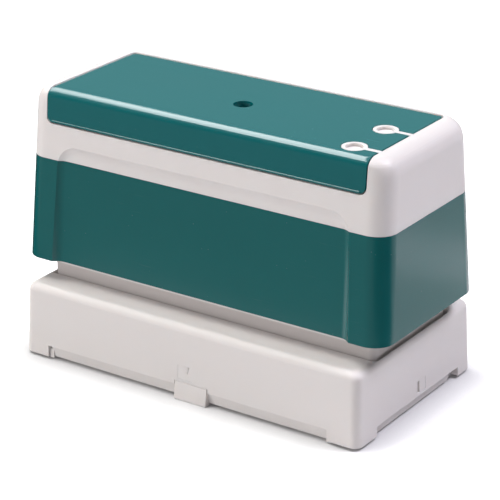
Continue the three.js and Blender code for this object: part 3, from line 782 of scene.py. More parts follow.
@dataclass(frozen=True)
class SoftMatter:
    """Felt, foam or rubber: pores or fibres with an uneven tone."""

    name: str
    colour: tuple[int, int, int]
    tone: tuple[int, int, int]
    roughness: float = 0.9
    pores: float = 1400.0
    depth: float = 0.0003
    fibre: Point3 = (1.0, 1.0, 1.0)

    def material(self) -> bpy.types.Material:
        """Builds the material.

        Returns:
            The material.
        """
        recipe = Recipe(self.name)
        at = recipe.place()
        cells = recipe.add("ShaderNodeTexVoronoi", None, {"Vector": at, "Scale": self.pores})
        threads = recipe.noise(recipe.stretched(at, self.fibre), self.pores * 0.6, 4.0, 0.65)
        patch = recipe.noise(at, 70.0, 3.0)
        factor = patch * 0.6 + threads * 0.5 - 0.1
        colour = recipe.mixed(factor, linear(*self.colour), linear(*self.tone))
        normal = recipe.bump(cells + threads * 0.8, 0.6, self.depth)
        rough = self.roughness + (threads - 0.5) * 0.1
        return recipe.finish({"Base Color": colour, "Roughness": rough, "Normal": normal})


@dataclass(frozen=True)
class CardPaper:
    """Uncoated card with a faint fibre."""

    name: str
    colour: tuple[int, int, int]

    def material(self) -> bpy.types.Material:
        """Builds the material.

        Returns:
            The material.
        """
        recipe = Recipe(self.name)
        at = recipe.place()
        fibre = recipe.noise(recipe.stretched(at, (1.0, 5.0, 1.0), (0.0, 0.0, 0.4)), 1500.0, 5.0)
        cloud = recipe.noise(at, 120.0, 3.0)
        colour = recipe.mixed(
            fibre * 0.3 + cloud * 0.3, linear(*self.colour), linear(222, 217, 206)
        )
        normal = recipe.bump(fibre, 0.35, 0.00005)
        return recipe.finish(
            {"Base Color": colour, "Roughness": 0.78 + (fibre - 0.5) * 0.1, "Normal": normal}
        )


@dataclass(frozen=True)
class Finishes:
    """The stamp's finishes, one material each."""

    teal: bpy.types.Material
    lid_teal: bpy.types.Material
    white: bpy.types.Material
    cover_white: bpy.types.Material
    skirt_white: bpy.types.Material
    natural: bpy.types.Material
    grey: bpy.types.Material
    spring: bpy.types.Material
    screw: bpy.types.Material
    felt: bpy.types.Material
    rubber: bpy.types.Material
    foam: bpy.types.Material
    paper: bpy.types.Material

    @classmethod
    def made(cls) -> Finishes:
        """Builds every material once.

        Returns:
            The finishes.
        """
        white = {"colour": (213, 208, 205), "tone": (217, 212, 209), "scuffs": 0.04, "depth": 0.3}
        looks = {
            "teal": MouldedPlastic("teal_abs", (0, 82, 82), (1, 86, 86), 0.22, 0.05, scuffs=0.04),
            # Painted light: the lid's teal is the grip's teal painted a little lighter, for the
            # brighter light on the lid's top.
            "lid_teal": MouldedPlastic(
                "teal_gloss", (0, 86, 88), (2, 91, 93), 0.16, 0.04, scuffs=0.04
            ),
            "white": MouldedPlastic("warm_white_abs", roughness=0.42, specular=0.4, **white),
            "cover_white": MouldedPlastic("cover_white", roughness=0.52, specular=0.22, **white),
            # Painted shade: the skirt's white is the shell's white painted darker, for the shaded
            # crease under the grip.
            "skirt_white": MouldedPlastic(
                "skirt_white", (194, 188, 185), (199, 193, 190), 0.46, scuffs=0.04, specular=0.3
            ),
            "natural": MouldedPlastic(
                "natural_plastic", (214, 208, 206), (219, 213, 211), 0.35, 0.1
            ),
            "grey": MouldedPlastic("grey_abs", (146, 147, 149), (156, 157, 159), 0.45),
            "spring": BrightSteel("spring_wire", (196, 198, 201)),
            "screw": BrightSteel("screw_plate", (188, 190, 192), 0.24, (1.0, 1.0, 3.0)),
            "felt": SoftMatter("inked_felt", (22, 23, 30), (40, 41, 50), 0.8),
            "rubber": SoftMatter(
                "porous_sheet", (148, 98, 86), (126, 82, 72), 0.72, 3200.0, 0.0001
            ),
            "foam": SoftMatter("rest_foam", (190, 187, 178), (170, 166, 156), 0.92),
            "paper": CardPaper("label_card", (243, 240, 232)),
        }
        return cls(**{name: look.material() for name, look in looks.items()})


# ---------------------------------------------------------------- handle and lid


@dataclass
class HandleShape:
    """The handle's outside, shared by the shell, the grip and the lid."""

    draft_x: float = 0.036
    draft_y: float = 0.08
    corner: float = 6.1
    top_corner: float = 2.6
    end_round: float = 5.4
    end_blend: float = 9.0
    edge_round: float = 2.6
    panel_half: float = 49.8
    panel_top: float = 64.0
    panel_depth: float = 0.9
    panel_sweep: float = 2.4
    panel_corner: float = 6.5
    panel_edge: float = 0.18
    panel_flare: float = 3.0
    slack: float = 0.42
    half_length: float = field(init=False)
    half_width: float = field(init=False)
    foot: float = field(init=False)
    top: float = field(init=False)
    seam: float = field(init=False)

    def __post_init__(self) -> None:
        """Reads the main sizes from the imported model."""
        low, high = span("grip_sleeve")
        self.half_length = high.x
        self.half_width = high.y
        self.foot = low.z
        self.seam = high.z
        self.top = span("handle_shell")[1].z

    def leaned(self, form: Form) -> Form:
        """Gives a form the handle's draft."""
        return form.leaned(self.foot, self.draft_x, self.draft_y)

    def block(self, inset: float, low: float, high: float, tight: float = 0.0) -> Form:
        """Makes a block that follows the handle's sides.

        Args:
            inset: How far in from them.
            low: Height of its foot.
            high: Height of its top.
            tight: How much smaller its corners are than the sides' own.

        Returns:
            The block.
        """
        corner = max(self.corner - inset - tight, 1.0)
        outline = rounded_outline(self.half_length - inset, self.half_width - inset, corner, 12)
        return self.leaned(Form.prism(outline, low, high))

    def heights(self) -> list[float]:
        """Lists the heights at which the outside is drawn.

        Returns:
            The heights, from the foot up.
        """
        found = {self.foot, (self.foot + self.top) / 2}
        for radius, steps in ((self.end_round, 10), (self.edge_round, 8)):
            for angle in angles(steps):
                found.add(round(self.top - radius + radius * math.sin(angle), 5))
        return sorted(found)

    def outside(self) -> Form:
        """Draws the whole outside with its finger panels.

        Returns:
            The solid handle.
        """
        rings = []
        for height in self.heights():
            ends = round_inset(height, self.top, self.end_round)
            edges = round_inset(height, self.top, self.edge_round)
            drawn = max(edges / self.edge_round, ends / self.end_blend)
            rise = height - self.foot
            outline = rounded_outline(
                self.half_length - self.draft_x * rise - ends,
                self.half_width - self.draft_y * rise - edges,
                self.corner + (self.top_corner - self.corner) * drawn,
                12,
            )
            rings.append(lifted(outline, height))
        body = Form.loft(rings)
        for side in (-1.0, 1.0):
            body.take(self.panel_cutter(side))
        return body.rounded(self.panel_edge, 3, 22.0)

    def panel_cutter(self, side: float) -> Form:
        """Draws a finger panel's cutter, whose walls sweep up to a crisp edge.

        Args:
            side: 1 for the back, -1 for the front.

        Returns:
            The cutter.
        """
        depth, sweep = self.panel_depth, self.panel_sweep
        radius = (sweep * sweep + depth * depth) / (2 * depth)
        steep = math.asin(sweep / radius)
        levels = []
        for angle in angles(7, steep):
            outward = radius * (1 - math.cos(angle)) - depth
            levels.append((radius * math.sin(angle) - sweep, outward))
        levels.append((self.panel_flare / math.tan(steep), self.panel_flare))
        rings = []
        for grow, past in levels:
            outline = arch_outline(
                self.panel_half + grow,
                self.foot - FAR_DOWN,
                self.panel_top + grow,
                self.panel_corner + grow,
                12,
            )
            y = side * (self.half_width + past)
            rings.append([(x, y, z) for x, z in outline])
        return self.leaned(Form.loft(rings))


@dataclass
class Lid:
    """The snap-on lid over the label, and the recess that it lies in."""

    shape: HandleShape
    wall: float = 1.8
    inner_round: float = 0.9
    back_corner: float = 2.2
    flap_corner: float = 1.9
    skin: float = 0.2
    outer_edge: float = 0.85
    crown_round: float = 1.2
    crown_sweep: float = math.radians(82.0)
    crown_meets: float = 1.431
    crown_past: float = 2.0
    bead_radius: float = 0.28
    bead_rise: float = 0.38
    bead_sink: float = 0.06
    bead_stop: float = 1.7
    edge: float = 0.2
    port_radius: float = 3.5
    tail: float = 1.5
    access_radius: float = 2.8
    half_length: float = field(init=False)
    back: float = field(init=False)
    low: float = field(init=False)
    ports: tuple[Vector, ...] = field(init=False)
    access: Vector = field(init=False)

    def __post_init__(self) -> None:
        """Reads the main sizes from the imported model."""
        low, high = span("lid")
        self.half_length = high.x
        self.back = high.y
        self.low = low.z
        plugs = [span(name) for name in ("ink_plug_front", "ink_plug_back")]
        self.ports = tuple((a + b) / 2 for a, b in plugs)
        a, b = span("centre_screw")
        self.access = (a + b) / 2

    def outline(self, margin: float) -> list[Point2]:
        """Draws the lid's plan, running off over the front.

        Args:
            margin: Margin all round it.

        Returns:
            The plan's points.
        """
        half = self.half_length + margin
        back = self.back + margin
        radius = self.back_corner + margin
        front = -2 * self.shape.half_width
        return arch_outline(half, front, back, radius, 8)

    def space(self, margin: float) -> Form:
        """Makes the lid's space, with its plan and its front's round lower corners.

        Args:
            margin: Margin all round it.

        Returns:
            The space.
        """
        above = self.shape.top + PAST
        reach = 2 * self.shape.half_width
        low = self.low - margin
        flap = arch_outline(self.half_length + margin, -above, -low, self.flap_corner + margin, 8)
        front = Form.along_y([(x, -z) for x, z in flap], -reach, reach)
        return Form.prism(self.outline(margin), low, above).meet(front)

    def crown(self) -> Form:
        """Draws the space under the lid's round left and back edges.

        Returns:
            The space.
        """
        front = -2 * self.shape.half_width
        levels = [(0.0, self.low - PAST)]
        for angle in angles(8, self.crown_sweep):
            rise = math.sin(angle) / math.sin(self.crown_meets) - 1.0
            levels.append(
                (self.crown_round * (1 - math.cos(angle)), self.shape.top + self.crown_round * rise)
            )
        levels.append((self.crown_round, self.shape.top + 0.6))
        rings = []
        for inset, height in levels:
            half = self.half_length + self.crown_past - inset / 2
            radius = self.back_corner - inset * 0.6
            outline = arch_outline(half, front, self.back - inset, radius, 8)
            shift = self.crown_past + inset / 2
            rings.append([(x + shift, y, height) for x, y in outline])
        return Form.loft(rings)

    def keyhole(self, port: Vector, margin: float, low: float, high: float) -> Form:
        """Draws a port's ring and its tail.

        Args:
            port: The port's place.
            margin: Margin all round it.
            low: Height of its foot.
            high: Height of its top.

        Returns:
            The solid keyhole.
        """
        radius = self.port_radius + margin
        half = self.tail / 2 + margin
        start = math.asin(half / radius)
        points = []
        for angle in angles(40, 2 * math.pi - 2 * start):
            angle += start
            points.append((port.x + radius * math.cos(angle), port.y + radius * math.sin(angle)))
        end = self.half_length + PAST
        points += [(end, port.y - half), (end, port.y + half)]
        return Form.prism(points, low, high)

    def form(self, outside: Form) -> Form:
        """Shapes the lid.

        Args:
            outside: A copy of the handle's outside.

        Returns:
            The lid.
        """
        shape = self.shape
        above = shape.top + PAST
        ceiling = shape.top - self.wall
        body = outside.meet(self.space(0.0)).meet(self.crown()).rounded(self.outer_edge, 5)
        inner = arch_outline(
            shape.half_width - self.wall, self.low - FAR_DOWN, ceiling, self.inner_round, 6
        )
        hollow = Form.along_x(inner, -2 * self.half_length, 2 * self.half_length)
        body.take(shape.leaned(hollow))
        rise = self.low + self.bead_rise
        middle = self.bead_sink - shape.half_width + shape.draft_y * (rise - shape.foot)
        radius, stop = self.bead_radius, self.half_length - self.bead_stop
        bead = [
            (middle + radius * math.cos(angle), rise + radius * math.sin(angle))
            for angle in angles(12, 2 * math.pi)[:-1]
        ]
        body.join(Form.along_x(bead, -stop, stop))
        reach = self.half_length - self.back_corner
        lip_low = (-reach, self.back - self.wall, ceiling - 0.7)
        body.join(Form.block(lip_low, (reach, self.back - 0.3, ceiling + 0.5)))
        for port in self.ports:
            body.take(self.keyhole(port, self.skin, self.low, above))
        hole = [(self.access_radius, self.low), (self.access_radius, above)]
        body.take(Form.turned(hole, self.access.x, self.access.y, 48))
        return body.rounded(self.edge, 3)


@dataclass
class Handle:
    """The pale shell, the teal grip round it, and the lid."""

    finishes: Finishes
    shape: HandleShape = field(default_factory=HandleShape)
    grip_wall: float = 1.8
    shell_wall: float = 1.5
    rim_drop: float = 0.7
    shell_edge: float = 0.22
    grip_edge: float = 0.5
    seam_gap: float = 0.08
    tight_gap: float = 0.12
    port_bore: float = 2.45
    deck_wall: float = 1.6
    cavity_tight: float = 1.2
    socket_radius: float = 3.9
    centre_radius: float = 5.0
    centre_drop: float = 4.6
    boss_radius: float = 3.2
    screw_bore: float = 1.6
    deck_gap: float = 0.8
    socket_drop: float = 6.0
    bore_drop: float = 8.0
    shank_bore: float = 1.7
    head_bore: float = 3.0
    head_seat: float = 0.6
    plug_radius: float = 2.3
    card_corner: float = 1.0
    card_hole: float = 3.3
    lid: Lid = field(init=False)

    def __post_init__(self) -> None:
        """Gives the handle its lid."""
        self.lid = Lid(self.shape)

    def shell(self, outside: Form) -> Form:
        """Shapes the shell.

        Args:
            outside: A copy of the handle's outside.

        Returns:
            The shell.
        """
        shape, lid = self.shape, self.lid
        above = shape.top + PAST
        reach = 2 * shape.half_length
        seam = shape.seam + self.seam_gap
        upper = outside.meet(Form.block((-reach, -reach, seam), (reach, reach, above)))
        liner = shape.block(self.grip_wall + lid.skin, shape.foot - self.rim_drop, seam + 0.5)
        upper.join(liner)
        deck = shape.top - lid.wall - self.deck_gap
        seat = arch_outline(
            shape.half_width - lid.wall - lid.skin, shape.foot - FAR_DOWN, deck, lid.inner_round, 6
        )
        body = shape.leaned(Form.along_x(seat, -reach, reach))
        close = Form.block(
            (-lid.half_length - self.tight_gap, -reach, shape.foot),
            (reach, lid.back + self.tight_gap, above + PAST),
        )
        upper.take(lid.space(shape.slack).meet(close).take(body))
        inset = self.grip_wall + lid.skin + self.shell_wall
        ceiling = deck - self.deck_wall
        upper.take(shape.block(inset, shape.foot - FAR_DOWN, ceiling, self.cavity_tight))
        for port in lid.ports:
            upper.join(lid.keyhole(port, 0.0, deck - 0.5, shape.top))
            self.add_post(upper, port, self.socket_radius, ceiling - self.socket_drop, deck - PAST)
        centre = lid.access
        self.add_post(upper, centre, self.centre_radius, ceiling - self.centre_drop, deck - PAST)
        for port in lid.ports:
            bore = [(self.port_bore, ceiling - self.bore_drop), (self.port_bore, above)]
            upper.take(Form.turned(bore, port.x, port.y))
        for corner in CORNERS:
            self.add_screw_boss(upper, corner, deck)
        shank, head, seat = self.shank_bore, self.head_bore, ceiling - self.head_seat
        head = [(shank, ceiling - self.bore_drop), (shank, seat), (head, seat), (head, above)]
        upper.take(Form.turned(head, centre.x, centre.y))
        return upper.rounded(self.shell_edge, 3)

    @staticmethod
    def add_post(upper: Form, place: Vector, radius: float, low: float, high: float) -> None:
        """Joins a round post to the shell."""
        upper.join(Form.turned([(radius, low), (radius, high)], place.x, place.y))

    def add_screw_boss(self, upper: Form, corner: str, deck: float) -> None:
        """Joins the boss over a spring, bored for its stop screw.

        Args:
            upper: The shell.
            corner: The corner's name.
            deck: Height of the shell's deck.
        """
        low, high = span("spring_" + corner)
        place = (low + high) / 2
        self.add_post(upper, place, self.boss_radius, high.z + self.lid.skin, deck - PAST)
        tip = span("stop_screw_" + corner)[1].z
        bore = [(self.screw_bore, high.z - PAST), (self.screw_bore, tip + PAST)]
        upper.take(Form.turned(bore, place.x, place.y))

    def grip(self, outside: Form) -> Form:
        """Shapes the grip.

        Args:
            outside: A copy of the handle's outside.

        Returns:
            The grip.
        """
        shape = self.shape
        reach = 2 * shape.half_length
        body = outside.meet(Form.block((-reach, -reach, shape.foot), (reach, reach, shape.seam)))
        body.take(shape.block(self.grip_wall, shape.foot - FAR_DOWN, shape.seam + 5.0))
        return body.rounded(self.grip_edge, 3)

    def plug(self, place: Vector, low: float, high: float) -> Form:
        """Shapes an ink plug with a dished top.

        Args:
            place: Its place.
            low: Height of its foot.
            high: Height of its top.

        Returns:
            The plug.
        """
        radius = self.plug_radius
        profile = [
            (0.0, low),
            (radius - 0.4, low),
            (radius - 0.1, low + 0.3),
            (radius - 0.1, high - 1.6),
            (radius, high - 1.3),
            (radius, high - 0.25),
            (radius - 0.08, high - 0.08),
            (radius - 0.25, high),
            (radius - 0.5, high - 0.02),
            (radius - 0.7, high - 0.12),
            (radius - 0.95, high - 0.28),
            (0.5, high - 0.34),
            (0.0, high - 0.34),
        ]
        return Form.turned(profile, place.x, place.y, 48)

    def label(self) -> Form:
        """Shapes the bare card under the lid.

        Returns:
            The card.
        """
        low, high = span("name_label")
        middle, half = (low + high) / 2, (high - low) / 2
        plan = rounded_outline(half.x, half.y, self.card_corner, 6)
        card = Form.prism([(x + middle.x, y + middle.y) for x, y in plan], low.z, high.z)
        hole = [(self.card_hole, low.z - PAST), (self.card_hole, high.z + PAST)]
        card.take(Form.turned(hole, self.lid.access.x, self.lid.access.y))
        return card.rounded(0.05, 2)

    def build(self) -> None:
        """Makes and places every piece of the handle."""
        made = self.finishes
        outside = self.shape.outside()
        shell, grip, lid = (Form(outside.mesh.copy()) for _ in range(3))
        for name, form, body, slot, finish, node in (
            ("shell", self.shell(shell), Body.HANDLE, Slot.WHITE, made.white, "handle_shell"),
            ("grip", self.grip(grip), Body.HANDLE, Slot.TEAL, made.teal, "grip_sleeve"),
            ("snap_lid", self.lid.form(lid), Body.LID, Slot.TEAL, made.lid_teal, "lid"),
            ("label_card", self.label(), Body.HANDLE, Slot.PAPER, made.paper, "name_label"),
        ):
            Piece(name, form, body, slot, finish, (node,)).place()
        for name, body in (("ink_plug_front", Body.PLUG_FRONT), ("ink_plug_back", Body.PLUG_BACK)):
            low, high = span(name)
            form = self.plug((low + high) / 2, low.z, high.z)
            Piece(name + "_cap", form, body, Slot.WHITE, made.natural, (name,)).place()


# ---------------------------------------------------------------- cover and skirt


@dataclass
class Cover:
    """The storage cover: its rim, base plate and rest pad."""

    finishes: Finishes
    draft: float = 0.038
    corner: float = 2.7
    edge_round: float = 2.2
    well_corner: float = 1.5
    well_gap: float = 0.45
    well_half: float = 20.2
    well_lip: float = 0.7
    well_foot: float = 5.0
    lip_sweep: float = math.radians(80.0)
    end_wall: float = 2.2
    side_wall: float = 2.8
    deck: float = 2.0
    edge: float = 0.22
    cut_edge: float = 0.07
    plate_edge: float = 0.14
    hook_edge: float = 0.05
    crown: tuple[Point2, ...] = (
        (0.0, 0.5),
        (0.2, 0.1),
        (0.5, 0.0),
        (0.72, 0.12),
        (0.88, 0.5),
        (0.94, 1.4),
        (0.98, 5.0),
        (1.0, 12.0),
    )

    def rim(self) -> Form:
        """Shapes the moulded rim.

        Returns:
            The rim.
        """
        low, high = span("cover_wall")
        round_foot = high.z - self.edge_round
        heights = [low.z, low.z + 8.0]
        heights += [round_foot + self.edge_round * math.sin(angle) for angle in angles(10)]
        rings = []
        for height in heights:
            inset = round_inset(height, high.z, self.edge_round)
            side = self.draft * (height - low.z) + inset
            corner = max(self.corner - 0.35 * inset, 1.0)
            outline = rounded_outline(high.x - side, high.y - side, corner, 10)
            rings.append(lifted(outline, height))
        body = Form.loft(rings)
        well_x = high.x - self.end_wall
        inner_y = high.y - self.side_wall
        hollow = rounded_outline(well_x, inner_y, self.well_corner, 6)
        body.take(Form.prism(hollow, low.z - FAR_DOWN, high.z - self.deck))
        body.take(self.well(well_x, high.z))
        body.rounded(self.edge, 3)
        for cutter in self.latch_cuts(well_x, inner_y):
            body.take(cutter)
        return body.rounded(self.cut_edge, 2)

    def well(self, half: float, top: float) -> Form:
        """Draws the well for the skirt, which opens in a soft lip.

        Args:
            half: Half the length between the end walls.
            top: The rim's height.

        Returns:
            The cutter.
        """
        lip = self.well_lip
        levels = [(0.0, self.well_foot)]
        for angle in angles(6, self.lip_sweep):
            levels.append((lip * (1 - math.cos(angle)), top + lip * (math.sin(angle) - 1)))
        levels.append((levels[-1][0], top + PAST))
        rings = []
        for out, height in levels:
            half_x, half_y = half + self.well_gap + out, self.well_half + out
            outline = rounded_outline(half_x, half_y, self.well_corner + out, 8)
            rings.append(lifted(outline, height))
        return Form.loft(rings)

    @staticmethod
    def latch_cuts(well_x: float, inner_y: float) -> Iterable[Form]:
        """Cuts for the plate's strips, tab and hooks, front and right, then turned half round.

        Args:
            well_x: Half the well's length.
            inner_y: Half the width between the long walls.

        Returns:
            The cutters.
        """
        reach = 120.0
        y = 1.0 - inner_y
        x = well_x - 1.0
        boxes = [
            ((-48.5, -reach, -5.0), (48.5, y, 4.2)),
            ((-3.2, -reach, -5.0), (8.1, y, 5.5)),
            ((-2.0, -reach, 6.2), (2.8, y, 10.4)),
            ((x, -21.3, -5.0), (reach, 23.6, 3.6)),
            ((x, 0.4, 4.6), (reach, 5.0, 8.2)),
            ((x, 0.4, -5.0), (well_x + 1.2, 5.0, 8.2)),
        ]
        for turn in BOTH_WAYS:
            for low, high in boxes:
                yield Form.block(low, high).turned_about(turn)

    def plate(self) -> Form:
        """Shapes the base plate, with its hooks and strips filled out nearly flush.

        Returns:
            The plate.
        """
        body = Form.of_node("cover_plate")
        low = span("cover_wall")[0].z
        along_y, along_x = (0.0, self.draft), (self.draft, 0.0)
        hooks = [
            ((-2.0, -31.36, 6.2), (2.8, -30.0, 10.4), along_y),
            ((56.0, 1.7, 4.6), (57.16, 5.0, 8.2), along_x),
        ]
        fills = [
            ((-3.12, -31.3, 0.5), (7.75, -29.0, 5.42)),
            ((-48.4, -30.7, 0.4), (-47.0, -29.0, 3.2)),
            ((47.0, -31.0, 0.4), (48.42, -29.0, 4.05)),
        ]
        tab_face = [(-33.0, 0.9), (-31.9, 0.9), (-31.25, 5.45), (-33.0, 5.45)]
        mark = [(1.1, 8.3), (1.45, 8.3), (1.8, 10.3), (1.35, 10.3)]
        for turn in BOTH_WAYS:
            body.take(Form.along_x(tab_face, -4.0, 9.0).turned_about(turn))
            for start, end in fills:
                block = Form.block(start, end).leaned(low, *along_y)
                body.join(block.turned_about(turn))
        body.rounded(self.plate_edge, 2)
        for turn in BOTH_WAYS:
            for start, end, lean in hooks:
                block = Form.block(start, end).leaned(low, *lean)
                body.join(block.rounded(self.hook_edge, 2).turned_about(turn))
            body.take(Form.along_y(mark, -32.0, -30.3).turned_about(turn))
        return body

    def build(self) -> None:
        """Makes and places every piece of the cover."""
        made = self.finishes
        for name, form, node in (
            ("rim", self.rim(), "cover_wall"),
            ("base_plate", self.plate(), "cover_plate"),
        ):
            Piece(name, form, Body.COVER, Slot.WHITE, made.cover_white, (node,)).place()
        form = Form.pad("rest_pad", self.crown)
        pad = Piece("foam_pad", form, Body.COVER, Slot.FOAM, made.foam, ("rest_pad",)).place()


@dataclass
class Carriage:
    """The skirt and everything between it and the handle that isn't turned or coiled."""

    finishes: Finishes
    felt: tuple[Point2, ...] = (
        (0.0, 0.6),
        (0.08, 0.2),
        (0.25, 0.0),
        (0.75, 0.0),
        (0.92, 0.2),
        (1.0, 0.6),
    )

    def build(self) -> None:
        """Makes and places the pieces."""
        made = self.finishes
        skirt = Form.of_node("skirt_frame").rounded(0.2, 3)
        Piece("skirt", skirt, Body.SKIRT, Slot.WHITE, made.skirt_white, ("skirt_frame",)).place()
        handle = Body.HANDLE
        for node, name, slot, finish, edge in (
            ("inner_core", "core", Slot.GREY, made.grey, 0.25),
            ("ink_tray", "tray", Slot.GREY, made.grey, 0.2),
            ("sheet_frame", "clamp_frame", Slot.WHITE, made.white, 0.15),
            ("printing_sheet", "print_sheet", Slot.RUBBER, made.rubber, 0.12),
        ):
            form = Form.of_node(node).rounded(edge, 2)
            Piece(name, form, handle, slot, finish, (node,)).place()
        for level in ("upper", "lower"):
            node = "ink_pad_" + level
            form = Form.pad(node, self.felt)
            pad = Piece("felt_" + level, form, handle, Slot.FELT, made.felt, (node,)).place()
        dress_packed("ink_tube", made.natural)
        dress_packed("screw", made.screw)


# ---------------------------------------------------------------- repeated pieces


class NodeGraph(Graph):
    """A geometry node tree with named inputs."""

    def __init__(self, name: str) -> None:
        """Starts a tree that gives geometry.

        Args:
            name: The tree's name.
        """
        super().__init__(bpy.data.node_groups.new(name, "GeometryNodeTree"))
        self._socket("Geometry", "OUTPUT", "NodeSocketGeometry")
        self.entry = self.tree.nodes.new("NodeGroupInput")
        self.identifiers: dict[str, str] = {}

    def _socket(self, name: str, way: str, kind: str) -> str:
        """Adds a socket to the tree and gives its identifier."""
        return self.tree.interface.new_socket(name, in_out=way, socket_type=kind).identifier

    def size(self, name: str, kind: str = "NodeSocketFloat") -> Wire:
        """Adds a named input.

        Args:
            name: Its name.
            kind: Its socket type.

        Returns:
            The input inside the tree.
        """
        identifier = self._socket(name, "INPUT", kind)
        self.identifiers[name] = identifier
        return Wire(self, self._find(self.entry.outputs, identifier))

    def finish(self, geometry: Wire, material: Wire) -> None:
        """Realizes the instances and sets the material.

        Args:
            geometry: What the tree made.
            material: The material's input.
        """
        real = self.add("GeometryNodeRealizeInstances", None, {0: geometry})
        values = {"Geometry": real, "Material": material}
        self.add("NodeGroupOutput", None, {0: self.add("GeometryNodeSetMaterial", None, values)})

    def mesh(self, values: Mapping[str, Any]) -> bpy.types.Mesh:
        """Runs the tree.

        Args:
            values: Its inputs by name.

        Returns:
            A plain mesh.
        """
        holder = bpy.data.objects.new("holder", bpy.data.meshes.new("holder"))
        bpy.context.scene.collection.objects.link(holder)
        modifier = holder.modifiers.new("nodes", "NODES")
        modifier.node_group = self.tree
        for name, value in values.items():
            modifier[self.identifiers[name]] = value
        graph = bpy.context.evaluated_depsgraph_get()
        made = bpy.data.meshes.new_from_object(holder.evaluated_get(graph), depsgraph=graph)
        holder.modifiers.remove(modifier)
        bpy.data.objects.remove(holder)
        return made


@dataclass
class Springs:
    """The four return springs, made by one tree."""

    finishes: Finishes
    radius: float = 2.7
    wire: float = 0.35
    turns: float = 6.0
    travel: float = 0.004

    @staticmethod
    def graph() -> NodeGraph:
        """Builds the tree of four coil springs at the corners of a rectangle.

        Returns:
            The tree.
        """
        graph = NodeGraph("coil_springs")
        radius, wire = graph.size("Radius"), graph.size("Wire")
        turns, height = graph.size("Turns"), graph.size("Height")
        finish = graph.size("Finish", "NodeSocketMaterial")
        spiral = graph.add(
            "GeometryNodeCurveSpiral",
            None,
            {
                "Resolution": 40,
                "Rotations": turns,
                "Start Radius": radius,
                "End Radius": radius,
                "Height": height,
            },
        )
        ring = {"Resolution": 12, "Radius": wire}
        circle = graph.add("GeometryNodeCurvePrimitiveCircle", {"mode": "RADIUS"}, ring)
        tube = {"Curve": spiral, "Profile Curve": circle, "Fill Caps": True}
        coil = graph.add("GeometryNodeCurveToMesh", None, tube)
        spread_x, spread_y = graph.size("Spread X"), graph.size("Spread Y")
        plan = {"Size X": spread_x, "Size Y": spread_y, "Vertices X": 2, "Vertices Y": 2}
        grid = graph.add("GeometryNodeMeshGrid", None, plan)
        points = graph.add("GeometryNodeMeshToPoints", None, {"Mesh": grid})
        values = {"Points": points, "Instance": coil}
        graph.finish(graph.add("GeometryNodeInstanceOnPoints", None, values), finish)
        return graph

    def build(self) -> None:
        """Makes the springs as one piece on the skirt; the share of their length that a full press
        keeps is worked out but not used.
        """
        steel = self.finishes.spring
        low, high = span("spring_front_left")
        spread = span("spring_back_right")[0] - low
        mesh = self.graph().mesh(
            {
                "Radius": self.radius,
                "Wire": self.wire,
                "Turns": self.turns,
                "Height": high.z - low.z - 2 * self.wire,
                "Spread X": spread.x,
                "Spread Y": spread.y,
                "Finish": steel,
            }
        )
        mesh.transform(Matrix.Translation((0.0, 0.0, low.z + self.wire)))
        nodes = tuple("spring_" + corner for corner in CORNERS)
        coils = Piece("coil_springs", Form(mesh), Body.SKIRT, Slot.SPRING, steel, nodes).place()
        stroke = next(j for j in frame["joints"] if j["name"] == "press")
        ends = stroke.get("range", (0.0, self.travel))
        keep = 1.0 - abs(ends[1] - ends[0]) / ((high.z - low.z) * MM)
        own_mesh(coils)


# ---------------------------------------------------------------- studio


